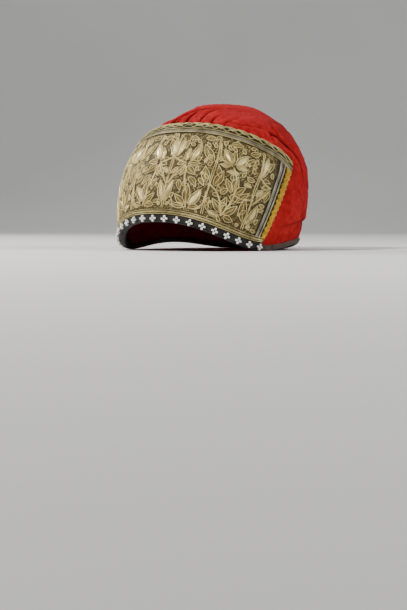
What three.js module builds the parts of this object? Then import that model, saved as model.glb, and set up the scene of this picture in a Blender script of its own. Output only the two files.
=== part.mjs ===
// A kokoshnik: a Russian folk cap with a stiff, gold-embroidered front panel, a red cotton crown
// gathered behind it, and a narrow dark band of white bead crosses round the brow.
// Millimetres, +Z up. The brow faces -Y, the wearer's left ear +X, and the rim stands on z = 0.
// Angles run round the cap from the middle of the brow towards the left ear, in degrees.

import * as THREE from "three";
import { mergeVertices } from "three/addons/utils/BufferGeometryUtils.js";

// The head opening and the crown
const CAP_WIDTH = 159; // crown cloth at the rim, outside, ear to ear
const CAP_LENGTH = 183; // crown cloth at the rim, outside, brow to nape
const CROWN_ABOVE_PANEL = 26; // from the panel's top edge over the brow to the top of the crown
const CLOTH = 1.6; // lined cotton wall
const CLEARANCE = 0.4; // between pieces that are sewn together

// The lower edge
const BROW_RISE = 27; // how far it arches up over the brow
const BROW_ANGLE = 74; // from the brow to the foot of the arch
const EAR_RISE = 6; // how far it rises again behind each ear
const NAPE_ANGLE = 158; // from the brow to where it is level again, at the nape
const BROW_ROUNDNESS = 1.18; // above 1 the arch is broad on top and steep at its feet

// The front panel
const PANEL_THICKNESS = 3.2; // padded embroidery on a stiff board
const PANEL_HEIGHT_BROW = 83.6; // over the middle of the brow
const PANEL_HEIGHT_END = 78.6; // at its two ends, before the corners are rounded
const PANEL_CORNER_DROP = 6; // how far the rounded top corners fall below that
const PANEL_CORNER_SHARE = 0.14; // share of each half that the rounded corner takes
const PANEL_TOP_ROUNDNESS = 2.4; // above 1 the top edge is flat over the brow and falls at the ends
const PANEL_ANGLE_LOW = 70; // from the brow to the panel's end, at its foot
const PANEL_ANGLE_TOP = 86; // the same, at its top corner

// The dark band below the panel, and the tape round the back of the rim
const BAND_HEIGHT = 7;
const BAND_THICKNESS = 1;
const BAND_INSIDE = 9; // how far the band is turned up inside
const BINDING_HEIGHT = 5.5;
const BINDING_THICKNESS = 1;

// The bead crosses
const CROSS_COUNT = 19; // an odd number, so that one is at the middle of the brow
const CROSS_END_GAP = 4.4; // from the last cross's middle to the band's end
const CROSS_MARGIN = 0.2; // from a cross to the band's edges
const BEAD_OVERLAP = 0.1; // how far a cross's neighbouring beads run into each other
const BEAD_DEPTH = 2.2;
const BEAD_BEVEL = 0.6; // rounding of a bead's rim

// The trim on the panel
const TRIM_THICKNESS = 1.1;
const TRIM_MARGIN = 0.6; // from the trim to the panel's edges
const LACE_WIDTH = 6; // scalloped metal lace along the top edge
const SCALLOP_PITCH = 12;
const SCALLOP_DEPTH = 1.6;
const TOP_BAND_WIDTH = 4.5; // plain metal band below the lace
const GIMP_WIDTH = 3.6; // couched cords above the dark band
const BRAID_WIDTH = 5.5; // yellow silk braid down each end
const BRAID_PITCH = 6;
const BRAID_DEPTH = 0.7; // how far its scalloped edges wave
const GALLOON_WIDTH = 5; // silver galloon beside the braid

// The folds of the crown
const EDGE_PUFF = 2.6; // how far the cloth bellies out behind the panel's top edge
const PLEAT_DEPTH = 4.4; // the deepest pleat
const CREASE_DEPTH = 3; // the deepest crease
const CREASE_WIDTH = 5; // the half width of the widest crease
const TUCK_HEIGHT = 22; // from the rim to the tuck round the nape
const TUCK_DEPTH = 2; // how far the cloth above the tuck hangs over
const TUCK_FADE_ANGLE = 20; // from the panel's end to where the tuck is full
const SEAM_RISE = 1.2; // from the panel's top edge up to the first pleats

// Facets across the panel, up the panel, and round the back of the rim
const PANEL_COLUMNS = 44;
const PANEL_ROWS = 7;
const BINDING_COLUMNS = 26;

// The crown's horizontal sections from rim to top: ellipses, as shares of the cap's height, its
// width and its length, with the centre's shift towards the nape as a share of the length
const SECTIONS = [
  { height: 0.0, width: 1.0, length: 1.0, shift: 0.033 },
  { height: 0.097, width: 1.041, length: 1.033, shift: 0.044 },
  { height: 0.208, width: 1.078, length: 1.053, shift: 0.057 },
  { height: 0.319, width: 1.098, length: 1.048, shift: 0.071 },
  { height: 0.43, width: 1.102, length: 1.02, shift: 0.086 },
  { height: 0.535, width: 1.088, length: 0.979, shift: 0.108 },
  { height: 0.639, width: 1.022, length: 0.906, shift: 0.122 },
  { height: 0.74, width: 0.917, length: 0.808, shift: 0.14 },
  { height: 0.833, width: 0.78, length: 0.692, shift: 0.163 },
  { height: 0.896, width: 0.619, length: 0.553, shift: 0.176 },
  { height: 0.948, width: 0.463, length: 0.417, shift: 0.178 },
  { height: 0.985, width: 0.3, length: 0.265, shift: 0.176 },
  { height: 1.0, width: 0.0, length: 0.0, shift: 0.176 },
];

// Pleats that run back from the panel's top edge: the angle where each starts, how far it swings
// towards the left ear on its way and its half width, all three in degrees, its depth as a share
// of the deepest, and how far it runs, as a share of the way from the edge to the top
const PLEATS = [
  { angle: -64, swing: -4, half: 4.0, depth: 0.36, run: 0.35 },
  { angle: -53, swing: -4, half: 4.0, depth: 0.5, run: 0.45 },
  { angle: -42, swing: 10, half: 3.5, depth: 0.64, run: 0.5 },
  { angle: -31, swing: -4, half: 3.5, depth: 0.5, run: 0.5 },
  { angle: -21, swing: -12, half: 3.5, depth: 0.64, run: 0.6 },
  { angle: -13, swing: 12, half: 3.6, depth: 0.95, run: 0.95 },
  { angle: -2, swing: 8, half: 3.8, depth: 1.0, run: 0.9 },
  { angle: 11, swing: 8, half: 3.8, depth: 0.77, run: 0.8 },
  { angle: 22, swing: 8, half: 3.8, depth: 0.64, run: 0.6 },
  { angle: 33, swing: 6, half: 4.0, depth: 0.41, run: 0.45 },
];

// Creases across the crown, alike on both sides: the angle of both ends in degrees, their height
// as a share of the cap's, and the half width and depth as shares of the largest
const CREASES = [
  { fromAngle: 36, fromHeight: 0.826, toAngle: 72, toHeight: 0.799, half: 0.9, depth: 0.53 },
  { fromAngle: 72, fromHeight: 0.799, toAngle: 90, toHeight: 0.715, half: 0.9, depth: 0.8 },
  { fromAngle: 90, fromHeight: 0.715, toAngle: 102, toHeight: 0.556, half: 1.0, depth: 1.0 },
  { fromAngle: 82, fromHeight: 0.875, toAngle: 122, toHeight: 0.813, half: 1.0, depth: 0.4 },
];

// The crown's facet rows, as shares of the way from the rim to the tuck, from the tuck to the seam
// behind the panel's top edge, and from the seam to the top
const RIM_TO_TUCK = [0, 0.35, 0.7, 1];
const TUCK_TO_SEAM = [0.07, 0.35, 0.7, 1];
const SEAM_TO_TOP = [0.07, 0.16, 0.28, 0.42, 0.56, 0.7, 0.85, 1];

const PANEL_FOOT = BAND_HEIGHT + CLEARANCE; // above the cap's lower edge
const PANEL_TOP_BROW = BROW_RISE + PANEL_FOOT + PANEL_HEIGHT_BROW;
const PANEL_TOP_END = PANEL_FOOT + PANEL_HEIGHT_END;
const CAP_HEIGHT = PANEL_TOP_BROW + CROWN_ABOVE_PANEL;
const PANEL_BACK = CLEARANCE; // distances from the crown cloth's outside
const PANEL_FACE = PANEL_BACK + PANEL_THICKNESS;

const radians = THREE.MathUtils.degToRad;
const lerp = THREE.MathUtils.lerp;
const clamp = THREE.MathUtils.clamp;
const smooth = THREE.MathUtils.smoothstep;

// A column of the section table at a level from 0, its first row, to 1, its last, on a smooth
// curve. The curve runs on below the rim in a straight line and over the top in a mirror image.
function section(column, level) {
  const last = SECTIONS.length - 1;
  const tabled = (index) => {
    if (index < 0) return 2 * SECTIONS[0][column] - SECTIONS[1][column];
    if (index <= last) return SECTIONS[index][column];
    const mirrored = SECTIONS[2 * last - index][column];
    return column === "width" || column === "length" ? -mirrored : mirrored;
  };
  const spot = clamp(level, 0, 1) * last;
  const row = Math.min(Math.floor(spot), last - 1);
  const t = spot - row;
  const [before, from, to, after] = [row - 1, row, row + 1, row + 2].map(tabled);
  const bend = 2 * before - 5 * from + 4 * to - after;
  return from + 0.5 * t * (to - before + t * (bend + t * (3 * (from - to) + after - before)));
}

// A point of the crown's plain outer surface
function crownPoint(angle, level) {
  const turn = radians(angle);
  return new THREE.Vector3(
    0.5 * CAP_WIDTH * section("width", level) * Math.sin(turn),
    CAP_LENGTH * (section("shift", level) - 0.5 * section("length", level) * Math.cos(turn)),
    CAP_HEIGHT * section("height", level),
  );
}

// The outward direction there
function crownNormal(angle, level) {
  const step = 1e-3;
  if (level > 1 - step) return new THREE.Vector3(0, 0, 1);
  const along = crownPoint(angle + step, level).sub(crownPoint(angle - step, level));
  const up = crownPoint(angle, level + step).sub(crownPoint(angle, Math.max(level - step, 0)));
  return along.cross(up).normalize();
}

// A point that stands off that surface by a distance
function crownOffset(angle, level, distance) {
  return crownPoint(angle, level).addScaledVector(crownNormal(angle, level), distance);
}

// The level at which the crown reaches a height
function levelAt(height) {
  let low = 0;
  let high = 1;
  for (let halving = 0; halving < 30; halving++) {
    const middle = (low + high) / 2;
    if (CAP_HEIGHT * section("height", middle) < height) low = middle;
    else high = middle;
  }
  return (low + high) / 2;
}

// The height of the cap's lower edge: an arch over the brow, a low rise behind each ear, and level
// at the nape
function rimHeight(angle) {
  const away = Math.abs(angle > 180 ? angle - 360 : angle);
  const brow = clamp(away / BROW_ANGLE, 0, 1) ** BROW_ROUNDNESS;
  const ear = clamp((away - BROW_ANGLE) / (NAPE_ANGLE - BROW_ANGLE), 0, 1);
  return 0.5 * BROW_RISE * (1 + Math.cos(Math.PI * brow)) + EAR_RISE * Math.sin(Math.PI * ear) ** 2;
}

// The height of the panel's top edge, at a share of the way from the brow to the panel's end
function panelTop(share) {
  const side = Math.abs(share);
  const corner = clamp(side - 1 + PANEL_CORNER_SHARE, 0, 1) / PANEL_CORNER_SHARE;
  const edge = lerp(PANEL_TOP_BROW, PANEL_TOP_END, side ** PANEL_TOP_ROUNDNESS);
  return edge - PANEL_CORNER_DROP * corner ** 2;
}

// The angle of the panel's end, from its foot, t = 0, to its top, t = 1
function panelEnd(t) {
  return lerp(PANEL_ANGLE_LOW, PANEL_ANGLE_TOP, clamp(t, 0, 1));
}

// A point over the panel's ground. The share runs from its right end, -1, to its left end, 1, and
// t from its foot, 0, to its top edge, 1. The foot is cut level, so that it meets the band.
function panelPoint(share, t, distance) {
  const low = levelAt(rimHeight(PANEL_ANGLE_LOW * share) + PANEL_FOOT);
  const level = lerp(low, levelAt(panelTop(share)), t);
  const angle = panelEnd(t) * share;
  const point = crownOffset(angle, level, distance);
  const flat = crownPoint(angle, level).z;
  point.z = lerp(flat, point.z, smooth(t, 0, 0.3));
  return point;
}

// The panel's height at a share of its half width, and its half width at a share of its height
function panelHeight(share) {
  return panelPoint(share, 0, 0).distanceTo(panelPoint(share, 1, 0));
}

function panelHalfWidth(t) {
  const steps = 24;
  let length = 0;
  for (let step = 0; step < steps; step++) {
    length += panelPoint(step / steps, t, 0).distanceTo(panelPoint((step + 1) / steps, t, 0));
  }
  return length;
}

// Merges shared vertices and leaves out triangles that have no area, as at the crown's top
function closed(geometry) {
  const bare = new THREE.BufferGeometry();
  bare.setAttribute("position", geometry.getAttribute("position"));
  bare.setIndex(geometry.index);
  const merged = mergeVertices(bare, 1e-3);
  const corners = merged.index.array;
  const kept = [];
  for (let i = 0; i < corners.length; i += 3) {
    const [a, b, c] = corners.slice(i, i + 3);
    if (a !== b && b !== c && c !== a) kept.push(a, b, c);
  }
  merged.setIndex(kept);
  merged.computeVertexNormals();
  return merged;
}

// A closed wall between an outer and an inner grid of points, which two functions give for each
// column and row. A wall that wraps joins its last column to its first.
function wall({ columns, rows, wraps = false, outer, inner }) {
  const positions = [];
  const triangles = [];
  const count = wraps ? columns : columns + 1;
  for (const side of [outer, inner]) {
    for (let column = 0; column < count; column++) {
      for (let row = 0; row <= rows; row++) positions.push(...side(column, row).toArray());
    }
  }
  const out = (column, row) => (column % count) * (rows + 1) + row;
  const back = (column, row) => count * (rows + 1) + out(column, row);
  const quad = (a, b, c, d) => triangles.push(a, b, c, a, c, d);
  for (let column = 0; column < columns; column++) {
    const next = column + 1;
    for (let row = 0; row < rows; row++) {
      quad(out(column, row), out(next, row), out(next, row + 1), out(column, row + 1));
      quad(back(column, row), back(column, row + 1), back(next, row + 1), back(next, row));
    }
    quad(back(column, 0), back(next, 0), out(next, 0), out(column, 0));
    quad(out(column, rows), out(next, rows), back(next, rows), back(column, rows));
  }
  for (let row = 0; row < rows && !wraps; row++) {
    quad(back(0, row), out(0, row), out(0, row + 1), back(0, row + 1));
    quad(out(columns, row), back(columns, row), back(columns, row + 1), out(columns, row + 1));
  }
  const geometry = new THREE.BufferGeometry();
  geometry.setAttribute("position", new THREE.Float32BufferAttribute(positions, 3));
  geometry.setIndex(triangles);
  return closed(geometry);
}

const redCotton = new THREE.MeshStandardMaterial({ color: 0xb5161a, roughness: 0.85 });
const goldWork = new THREE.MeshStandardMaterial({ color: 0x9a8250, roughness: 0.45, metalness: 0.5 });
const darkRibbon = new THREE.MeshStandardMaterial({ color: 0x26241f, roughness: 0.95 });
const brownTape = new THREE.MeshStandardMaterial({ color: 0x57433a, roughness: 0.9 });
const metalLace = new THREE.MeshStandardMaterial({ color: 0xa89a72, roughness: 0.4, metalness: 0.6 });
const yellowSilk = new THREE.MeshStandardMaterial({ color: 0xc9992a, roughness: 0.6 });
const whiteBead = new THREE.MeshStandardMaterial({ color: 0xe8e4da, roughness: 0.3 });

const cap = new THREE.Group();

function piece(name, geometry, material) {
  const mesh = new THREE.Mesh(geometry, material);
  mesh.name = name;
  cap.add(mesh);
  return mesh;
}

// How far the crown cloth stands off its plain surface above the seam, at a share of the way from
// the seam to the top
function pleatRise(angle, share) {
  let rise = EDGE_PUFF * smooth(share, 0, 0.12) * (1 - smooth(share, 0.25, 0.95));
  for (const pleat of PLEATS) {
    const across = (angle - pleat.angle - pleat.swing * share) / pleat.half;
    const fade = smooth(share, 0, 0.1) * (1 - smooth(share, 0.4 * pleat.run, pleat.run));
    rise -= PLEAT_DEPTH * pleat.depth * fade * Math.exp(-across * across);
  }
  return rise * (1 - smooth(Math.abs(angle), 50, 100));
}

// The same between the tuck and the seam, where the cloth hangs over the tuck round the nape
function tuckRise(angle, level, share) {
  const up = (CAP_HEIGHT * section("height", level) - PANEL_FOOT) / (PANEL_TOP_END - PANEL_FOOT);
  const past = Math.abs(angle) - panelEnd(up) - 2;
  return TUCK_DEPTH * smooth(past, 0, TUCK_FADE_ANGLE) * (1 - smooth(share, TUCK_TO_SEAM[0], 1));
}

// How deep the creases are at a point of the crown
function creaseDepth(angle, level) {
  const degreeLength = (Math.PI * CAP_WIDTH) / 360;
  const on = (degree, height) => new THREE.Vector2(degree * degreeLength, height * CAP_HEIGHT);
  const here = on(Math.abs(angle), section("height", level));
  const depths = CREASES.map((crease) => {
    const from = on(crease.fromAngle, crease.fromHeight);
    const run = on(crease.toAngle, crease.toHeight).sub(from);
    const share = clamp(here.clone().sub(from).dot(run) / run.lengthSq(), 0, 1);
    const away = from.addScaledVector(run, share).distanceTo(here) / (crease.half * CREASE_WIDTH);
    return CREASE_DEPTH * crease.depth * Math.exp(-away * away);
  });
  return Math.max(...depths);
}

// A point of the crown cloth: a row counts up from the rim over the tuck and the seam to the top
function crownClothPoint(angle, row, distance) {
  const rim = levelAt(rimHeight(angle) + Math.max(BAND_THICKNESS, BINDING_THICKNESS) + CLEARANCE);
  const tuck = levelAt(rimHeight(angle) + TUCK_HEIGHT);
  const end = Math.min(Math.abs(angle) / PANEL_ANGLE_TOP, 1 - PANEL_CORNER_SHARE / 4);
  const seam = levelAt(panelTop(end) + SEAM_RISE);
  if (row < RIM_TO_TUCK.length) {
    return crownOffset(angle, lerp(rim, tuck, RIM_TO_TUCK[row]), distance);
  }
  const aboveTuck = row - RIM_TO_TUCK.length;
  if (aboveTuck < TUCK_TO_SEAM.length) {
    const share = TUCK_TO_SEAM[aboveTuck];
    const level = lerp(tuck, seam, share);
    const crease = Math.abs(angle) > PANEL_ANGLE_TOP + 2 ? creaseDepth(angle, level) : 0;
    return crownOffset(angle, level, tuckRise(angle, level, share) - crease + distance);
  }
  const share = SEAM_TO_TOP[aboveTuck - TUCK_TO_SEAM.length];
  const level = lerp(seam, 1, share);
  return crownOffset(angle, level, pleatRise(angle, share) - creaseDepth(angle, level) + distance);
}

function crown() {
  const angleOf = (column) => {
    if (column <= PANEL_COLUMNS) {
      return lerp(-PANEL_ANGLE_LOW, PANEL_ANGLE_LOW, column / PANEL_COLUMNS);
    }
    const round = (column - PANEL_COLUMNS) / BINDING_COLUMNS;
    const angle = lerp(PANEL_ANGLE_LOW, 360 - PANEL_ANGLE_LOW, round);
    return angle > 180 ? angle - 360 : angle;
  };
  return wall({
    columns: PANEL_COLUMNS + BINDING_COLUMNS,
    rows: RIM_TO_TUCK.length + TUCK_TO_SEAM.length + SEAM_TO_TOP.length - 1,
    wraps: true,
    outer: (column, row) => crownClothPoint(angleOf(column), row, 0),
    inner: (column, row) => crownClothPoint(angleOf(column), row, -CLOTH),
  });
}

function frontPanel() {
  const face = (distance) => (column, row) =>
    panelPoint(lerp(-1, 1, column / PANEL_COLUMNS), row / PANEL_ROWS, distance);
  return wall({
    columns: PANEL_COLUMNS,
    rows: PANEL_ROWS,
    outer: face(PANEL_FACE),
    inner: face(PANEL_BACK),
  });
}

// Flat trim on the panel's face, between two edges that each give a share and a t
function trim(columns, edges) {
  const face = (distance) => (column, row) => {
    const { share, t } = edges[row](column / columns);
    return panelPoint(share, t, distance);
  };
  const back = PANEL_FACE + CLEARANCE;
  return wall({ columns, rows: 1, outer: face(back + TRIM_THICKNESS), inner: face(back) });
}

// A line across the panel, a distance up from its foot or down from its top edge
function across(from, distance, wave = () => 0) {
  const reach = 1 - TRIM_MARGIN / panelHalfWidth(from === "top" ? 1 : 0);
  return (along) => {
    const share = lerp(-reach, reach, along);
    const shift = (distance + wave(along)) / panelHeight(share);
    return { share, t: from === "top" ? 1 - shift : shift };
  };
}

const gimpTop = TRIM_MARGIN + GIMP_WIDTH;
const topBandStart = TRIM_MARGIN + LACE_WIDTH + CLEARANCE;
const topBandEnd = topBandStart + TOP_BAND_WIDTH;

// A line down one end of the panel, a distance in from it, between the gimp and the top band
function down(side, distance, wave = () => 0) {
  return (along) => {
    const low = (gimpTop + CLEARANCE) / panelHeight(side);
    const high = 1 - (topBandEnd + CLEARANCE) / panelHeight(side);
    const t = lerp(low, high, along);
    return { share: side * (1 - (distance + wave(along)) / panelHalfWidth(t)), t };
  };
}

function scallopLace() {
  const scallops = Math.round((2 * panelHalfWidth(1)) / SCALLOP_PITCH);
  const wave = (along) => 0.5 * SCALLOP_DEPTH * (1 + Math.cos(2 * Math.PI * scallops * along));
  const edges = [across("top", TRIM_MARGIN + LACE_WIDTH), across("top", TRIM_MARGIN, wave)];
  return trim(4 * scallops, edges);
}

// The two kinds of trim at one end: side is -1 at the right ear and 1 at the left
function endTrim(side, columns, start, width, wave) {
  const outerEdge = down(side, start, wave);
  const innerEdge = down(side, start + width, wave);
  return trim(columns, side > 0 ? [outerEdge, innerEdge] : [innerEdge, outerEdge]);
}

function sideBraid(side) {
  const loops = Math.round(panelHeight(side) / BRAID_PITCH);
  const wave = (along) => BRAID_DEPTH * Math.cos(2 * Math.PI * loops * along);
  return endTrim(side, 3 * loops, TRIM_MARGIN + BRAID_DEPTH, BRAID_WIDTH, wave);
}

function sideGalloon(side) {
  const start = TRIM_MARGIN + 2 * BRAID_DEPTH + BRAID_WIDTH + CLEARANCE;
  return endTrim(side, 2 * PANEL_ROWS, start, GALLOON_WIDTH);
}

// A strip folded up over the lower edge, from its top edge outside to its top edge inside
function foldedStrip({ columns, from, to, thickness, face, outsideHeight, insideHeight }) {
  const back = -CLOTH - CLEARANCE - thickness;
  const skin = (distances, heights) => (column, row) => {
    const angle = lerp(from, to, column / columns);
    const rim = rimHeight(angle);
    const point = crownOffset(angle, levelAt(rim + heights[row]), distances[row]);
    point.z = rim + heights[row];
    return point;
  };
  return wall({
    columns,
    rows: 3,
    outer: skin(
      [face - thickness, face - thickness, back + thickness, back + thickness],
      [outsideHeight, thickness, thickness, insideHeight],
    ),
    inner: skin([face, face, back, back], [outsideHeight, 0, 0, insideHeight]),
  });
}

function beadBand() {
  return foldedStrip({
    columns: PANEL_COLUMNS,
    from: -PANEL_ANGLE_LOW,
    to: PANEL_ANGLE_LOW,
    thickness: BAND_THICKNESS,
    face: PANEL_FACE,
    outsideHeight: BAND_HEIGHT,
    insideHeight: BAND_INSIDE,
  });
}

function backBinding() {
  const gap = THREE.MathUtils.radToDeg(CLEARANCE / (CAP_WIDTH / 2));
  return foldedStrip({
    columns: BINDING_COLUMNS,
    from: PANEL_ANGLE_LOW + gap,
    to: 360 - PANEL_ANGLE_LOW - gap,
    thickness: BINDING_THICKNESS,
    face: CLEARANCE + BINDING_THICKNESS,
    outsideHeight: BINDING_HEIGHT,
    insideHeight: BINDING_HEIGHT,
  });
}

// Four beads in a cross, as one solid that lies in the XY plane
const crossReach = BAND_HEIGHT / 2 - CROSS_MARGIN; // from its middle to its ends
const beadRadius = (crossReach + BEAD_OVERLAP / Math.SQRT2) / (1 + Math.SQRT2);
const beadCentre = crossReach - beadRadius;

function beadCross() {
  const bevel = BEAD_BEVEL / 2;
  const half = beadCentre / 2;
  const notch = half + Math.sqrt(beadRadius ** 2 / 2 - half ** 2);
  const sweep = Math.atan2(notch, notch - beadCentre);
  const outline = new THREE.Shape();
  for (let bead = 0; bead < 4; bead++) {
    const turn = (bead * Math.PI) / 2;
    const x = beadCentre * Math.cos(turn);
    const y = beadCentre * Math.sin(turn);
    outline.absarc(x, y, beadRadius - bevel, turn - sweep, turn + sweep);
  }
  const settings = {
    depth: BEAD_DEPTH - 2 * BEAD_BEVEL,
    bevelThickness: BEAD_BEVEL,
    bevelSize: bevel,
    bevelSegments: 1,
    curveSegments: 2,
  };
  return closed(new THREE.ExtrudeGeometry(outline, settings));
}

// The angles of the crosses, at equal spacing along the band, from the right ear to the left
function crossAngles() {
  const steps = 400;
  const angleOf = (step) => (PANEL_ANGLE_LOW * step) / steps;
  const reached = [0];
  for (let step = 1; step <= steps; step++) {
    const [from, to] = [step - 1, step].map((end) => bandMiddle(angleOf(end)));
    reached.push(reached[step - 1] + from.distanceTo(to));
  }
  const perSide = (CROSS_COUNT - 1) / 2;
  const pitch = (reached[steps] - CROSS_END_GAP) / perSide;
  const half = [];
  for (let cross = 1; cross <= perSide; cross++) {
    half.push(angleOf(reached.findIndex((length) => length >= cross * pitch)));
  }
  return [...half.map((angle) => -angle).reverse(), 0, ...half];
}

// The middle line of the dark band's face
function bandMiddle(angle) {
  const height = rimHeight(angle) + BAND_HEIGHT / 2;
  const point = crownOffset(angle, levelAt(height), PANEL_FACE);
  point.z = height;
  return point;
}

piece("crown", crown(), redCotton);
piece("front_panel", frontPanel(), goldWork);
piece("scallop_lace", scallopLace(), metalLace);
piece("top_band", trim(PANEL_COLUMNS, [across("top", topBandEnd), across("top", topBandStart)]), metalLace);
piece("lower_gimp", trim(PANEL_COLUMNS, [across("foot", TRIM_MARGIN), across("foot", gimpTop)]), goldWork);
for (const [side, hand] of [[1, "left"], [-1, "right"]]) {
  piece(`side_braid_${hand}`, sideBraid(side), yellowSilk);
  piece(`side_galloon_${hand}`, sideGalloon(side), metalLace);
}
piece("bead_band", beadBand(), darkRibbon);
piece("back_binding", backBinding(), brownTape);

const crossShape = beadCross();
crossAngles().forEach((angle, index) => {
  const cross = piece(`bead_cross_${String(index + 1).padStart(2, "0")}`, crossShape, whiteBead);
  const normal = crownNormal(angle, levelAt(bandMiddle(angle).z));
  const along = bandMiddle(angle + 0.1).sub(bandMiddle(angle - 0.1)).projectOnPlane(normal).normalize();
  const upright = normal.clone().cross(along);
  cross.quaternion.setFromRotationMatrix(new THREE.Matrix4().makeBasis(along, upright, normal));
  cross.position.copy(bandMiddle(angle)).addScaledVector(normal, CLEARANCE + BEAD_BEVEL);
});

// The origin is under the middle of the whole cap, on the surface that it stands on
const extent = new THREE.Box3().setFromObject(cap);
const centre = extent.getCenter(new THREE.Vector3());
cap.position.set(-centre.x, -centre.y, 0);

export default cap;
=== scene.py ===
"""The looks of a kokoshnik, a Russian folk cap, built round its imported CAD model."""

import math

import bmesh
import bpy
import numpy as np
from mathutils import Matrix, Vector
from mathutils.kdtree import KDTree


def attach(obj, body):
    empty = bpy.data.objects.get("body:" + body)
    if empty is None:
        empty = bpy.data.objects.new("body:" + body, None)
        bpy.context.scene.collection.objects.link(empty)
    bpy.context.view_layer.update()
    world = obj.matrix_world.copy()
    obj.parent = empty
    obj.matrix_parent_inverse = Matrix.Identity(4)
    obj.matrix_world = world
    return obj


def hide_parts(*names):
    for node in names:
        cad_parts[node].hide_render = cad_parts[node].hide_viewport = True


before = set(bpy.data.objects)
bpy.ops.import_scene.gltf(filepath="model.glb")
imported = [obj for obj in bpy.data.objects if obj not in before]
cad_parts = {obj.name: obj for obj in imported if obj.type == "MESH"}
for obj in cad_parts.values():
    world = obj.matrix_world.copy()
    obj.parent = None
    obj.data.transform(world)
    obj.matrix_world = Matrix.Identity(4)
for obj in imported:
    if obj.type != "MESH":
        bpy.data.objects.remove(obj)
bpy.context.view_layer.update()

random = np.random.default_rng(7)

# The cap's form, in millimetres and degrees, as the CAD model has it
CAP_WIDTH = 159.0
CAP_LENGTH = 183.0
CAP_HEIGHT = 144.0
CENTRE_Y = 8.992
CLOTH = 1.6
CLEARANCE = 0.4
BROW_RISE = 27.0
BROW_ANGLE = 74.0
BROW_ROUNDNESS = 1.18
EAR_RISE = 6.0
NAPE_ANGLE = 158.0
PANEL_FOOT = 7.4
PANEL_TOP_BROW = 118.0
PANEL_TOP_END = 86.0
PANEL_CORNER_DROP = 6.0
PANEL_CORNER_SHARE = 0.14
PANEL_TOP_ROUNDNESS = 2.4
PANEL_ANGLE_LOW = 70.0
PANEL_ANGLE_TOP = 86.0
PANEL_BACK = 0.4
PANEL_FACE = 3.6
PANEL_HALF = 118.0  # mean half width, along the surface
PANEL_TALL = 97.0  # height over the brow, along the surface
BAND_HEIGHT = 7.0
BAND_INSIDE = 9.0
BINDING_HEIGHT = 5.5
TUCK_HEIGHT = 22.0
CROSS_COUNT = 19
CROSS_END_GAP = 4.4
PANEL_END_LOSS = 12.6  # how much less tall the panel is at its ends, along the surface

# Horizontal sections of the crown: shares of its height, width and length, and the centre's shift
SECTIONS = np.array([
    (0.000, 1.000, 1.000, 0.033),
    (0.097, 1.041, 1.033, 0.044),
    (0.208, 1.078, 1.053, 0.057),
    (0.319, 1.098, 1.048, 0.071),
    (0.430, 1.102, 1.020, 0.086),
    (0.535, 1.088, 0.979, 0.108),
    (0.639, 1.022, 0.906, 0.122),
    (0.740, 0.917, 0.808, 0.140),
    (0.833, 0.780, 0.692, 0.163),
    (0.896, 0.619, 0.553, 0.176),
    (0.948, 0.463, 0.417, 0.178),
    (0.985, 0.300, 0.265, 0.176),
    (1.000, 0.000, 0.000, 0.176),
])
HEIGHT, WIDTH, LENGTH, SHIFT = range(4)


def smooth(value, low, high):
    """From 0 at low to 1 at high, level at both ends."""
    share = np.clip((value - low) / (high - low), 0, 1)
    return share * share * (3 - 2 * share)


def section(column, level):
    """A column of the table at a level from 0 to 1, on a smooth curve."""
    table = SECTIONS[:, column]
    last = len(table) - 1
    sign = -1 if column in (WIDTH, LENGTH) else 1
    padded = np.concatenate([[2 * table[0] - table[1]], table, sign * table[-2:-4:-1]])
    spot = np.clip(level, 0, 1) * last
    row = np.minimum(np.floor(spot).astype(int), last - 1)
    t = spot - row
    before, start, end, after = (padded[row + k] for k in range(4))
    bend = 2 * before - 5 * start + 4 * end - after
    return start + 0.5 * t * (end - before + t * (bend + t * (3 * (start - end) + after - before)))


LEVELS = np.linspace(0, 1, 4001)
LEVEL_HEIGHTS = CAP_HEIGHT * section(HEIGHT, LEVELS)


def level_at(height):
    """The section table's level at a height in millimetres."""
    return np.interp(height, LEVEL_HEIGHTS, LEVELS)


def crown_point(angle, level):
    """A point on the crown's plain surface: 0 degrees is the brow and 90 the left ear."""
    turn = np.radians(angle)
    return np.stack([
        0.5 * CAP_WIDTH * section(WIDTH, level) * np.sin(turn),
        CAP_LENGTH * (section(SHIFT, level) - 0.5 * section(LENGTH, level) * np.cos(turn)),
        CAP_HEIGHT * section(HEIGHT, level) + 0 * turn,
    ], -1)


def unit(vectors):
    """The vectors with their lengths made 1."""
    return vectors / np.maximum(np.linalg.norm(vectors, axis=-1, keepdims=True), 1e-12)


def crown_normal(angle, level):
    """The way outwards from the crown's plain surface."""
    step = 1e-3
    inner = np.minimum(level, 1 - 2 * step)
    along = crown_point(angle + step, inner) - crown_point(angle - step, inner)
    up = crown_point(angle, inner + step) - crown_point(angle, np.maximum(inner - step, 0))
    return unit(np.cross(along, up))


def crown_offset(angle, level, distance):
    """A point at a distance outside the crown's plain surface."""
    return crown_point(angle, level) + np.asarray(distance)[..., None] * crown_normal(angle, level)


def rim_height(angle):
    """The height of the cap's lower edge."""
    away = np.abs((np.asarray(angle) + 180) % 360 - 180)
    brow = np.clip(away / BROW_ANGLE, 0, 1) ** BROW_ROUNDNESS
    ear = np.clip((away - BROW_ANGLE) / (NAPE_ANGLE - BROW_ANGLE), 0, 1)
    return 0.5 * BROW_RISE * (1 + np.cos(np.pi * brow)) + EAR_RISE * np.sin(np.pi * ear) ** 2


def panel_top(share):
    """The height of the panel's top edge, for a share from the brow, at 0, to an end, at 1 or -1."""
    side = np.abs(share)
    corner = np.clip(side - 1 + PANEL_CORNER_SHARE, 0, 1) / PANEL_CORNER_SHARE
    edge = PANEL_TOP_BROW + (PANEL_TOP_END - PANEL_TOP_BROW) * side ** PANEL_TOP_ROUNDNESS
    return edge - PANEL_CORNER_DROP * corner ** 2


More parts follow.
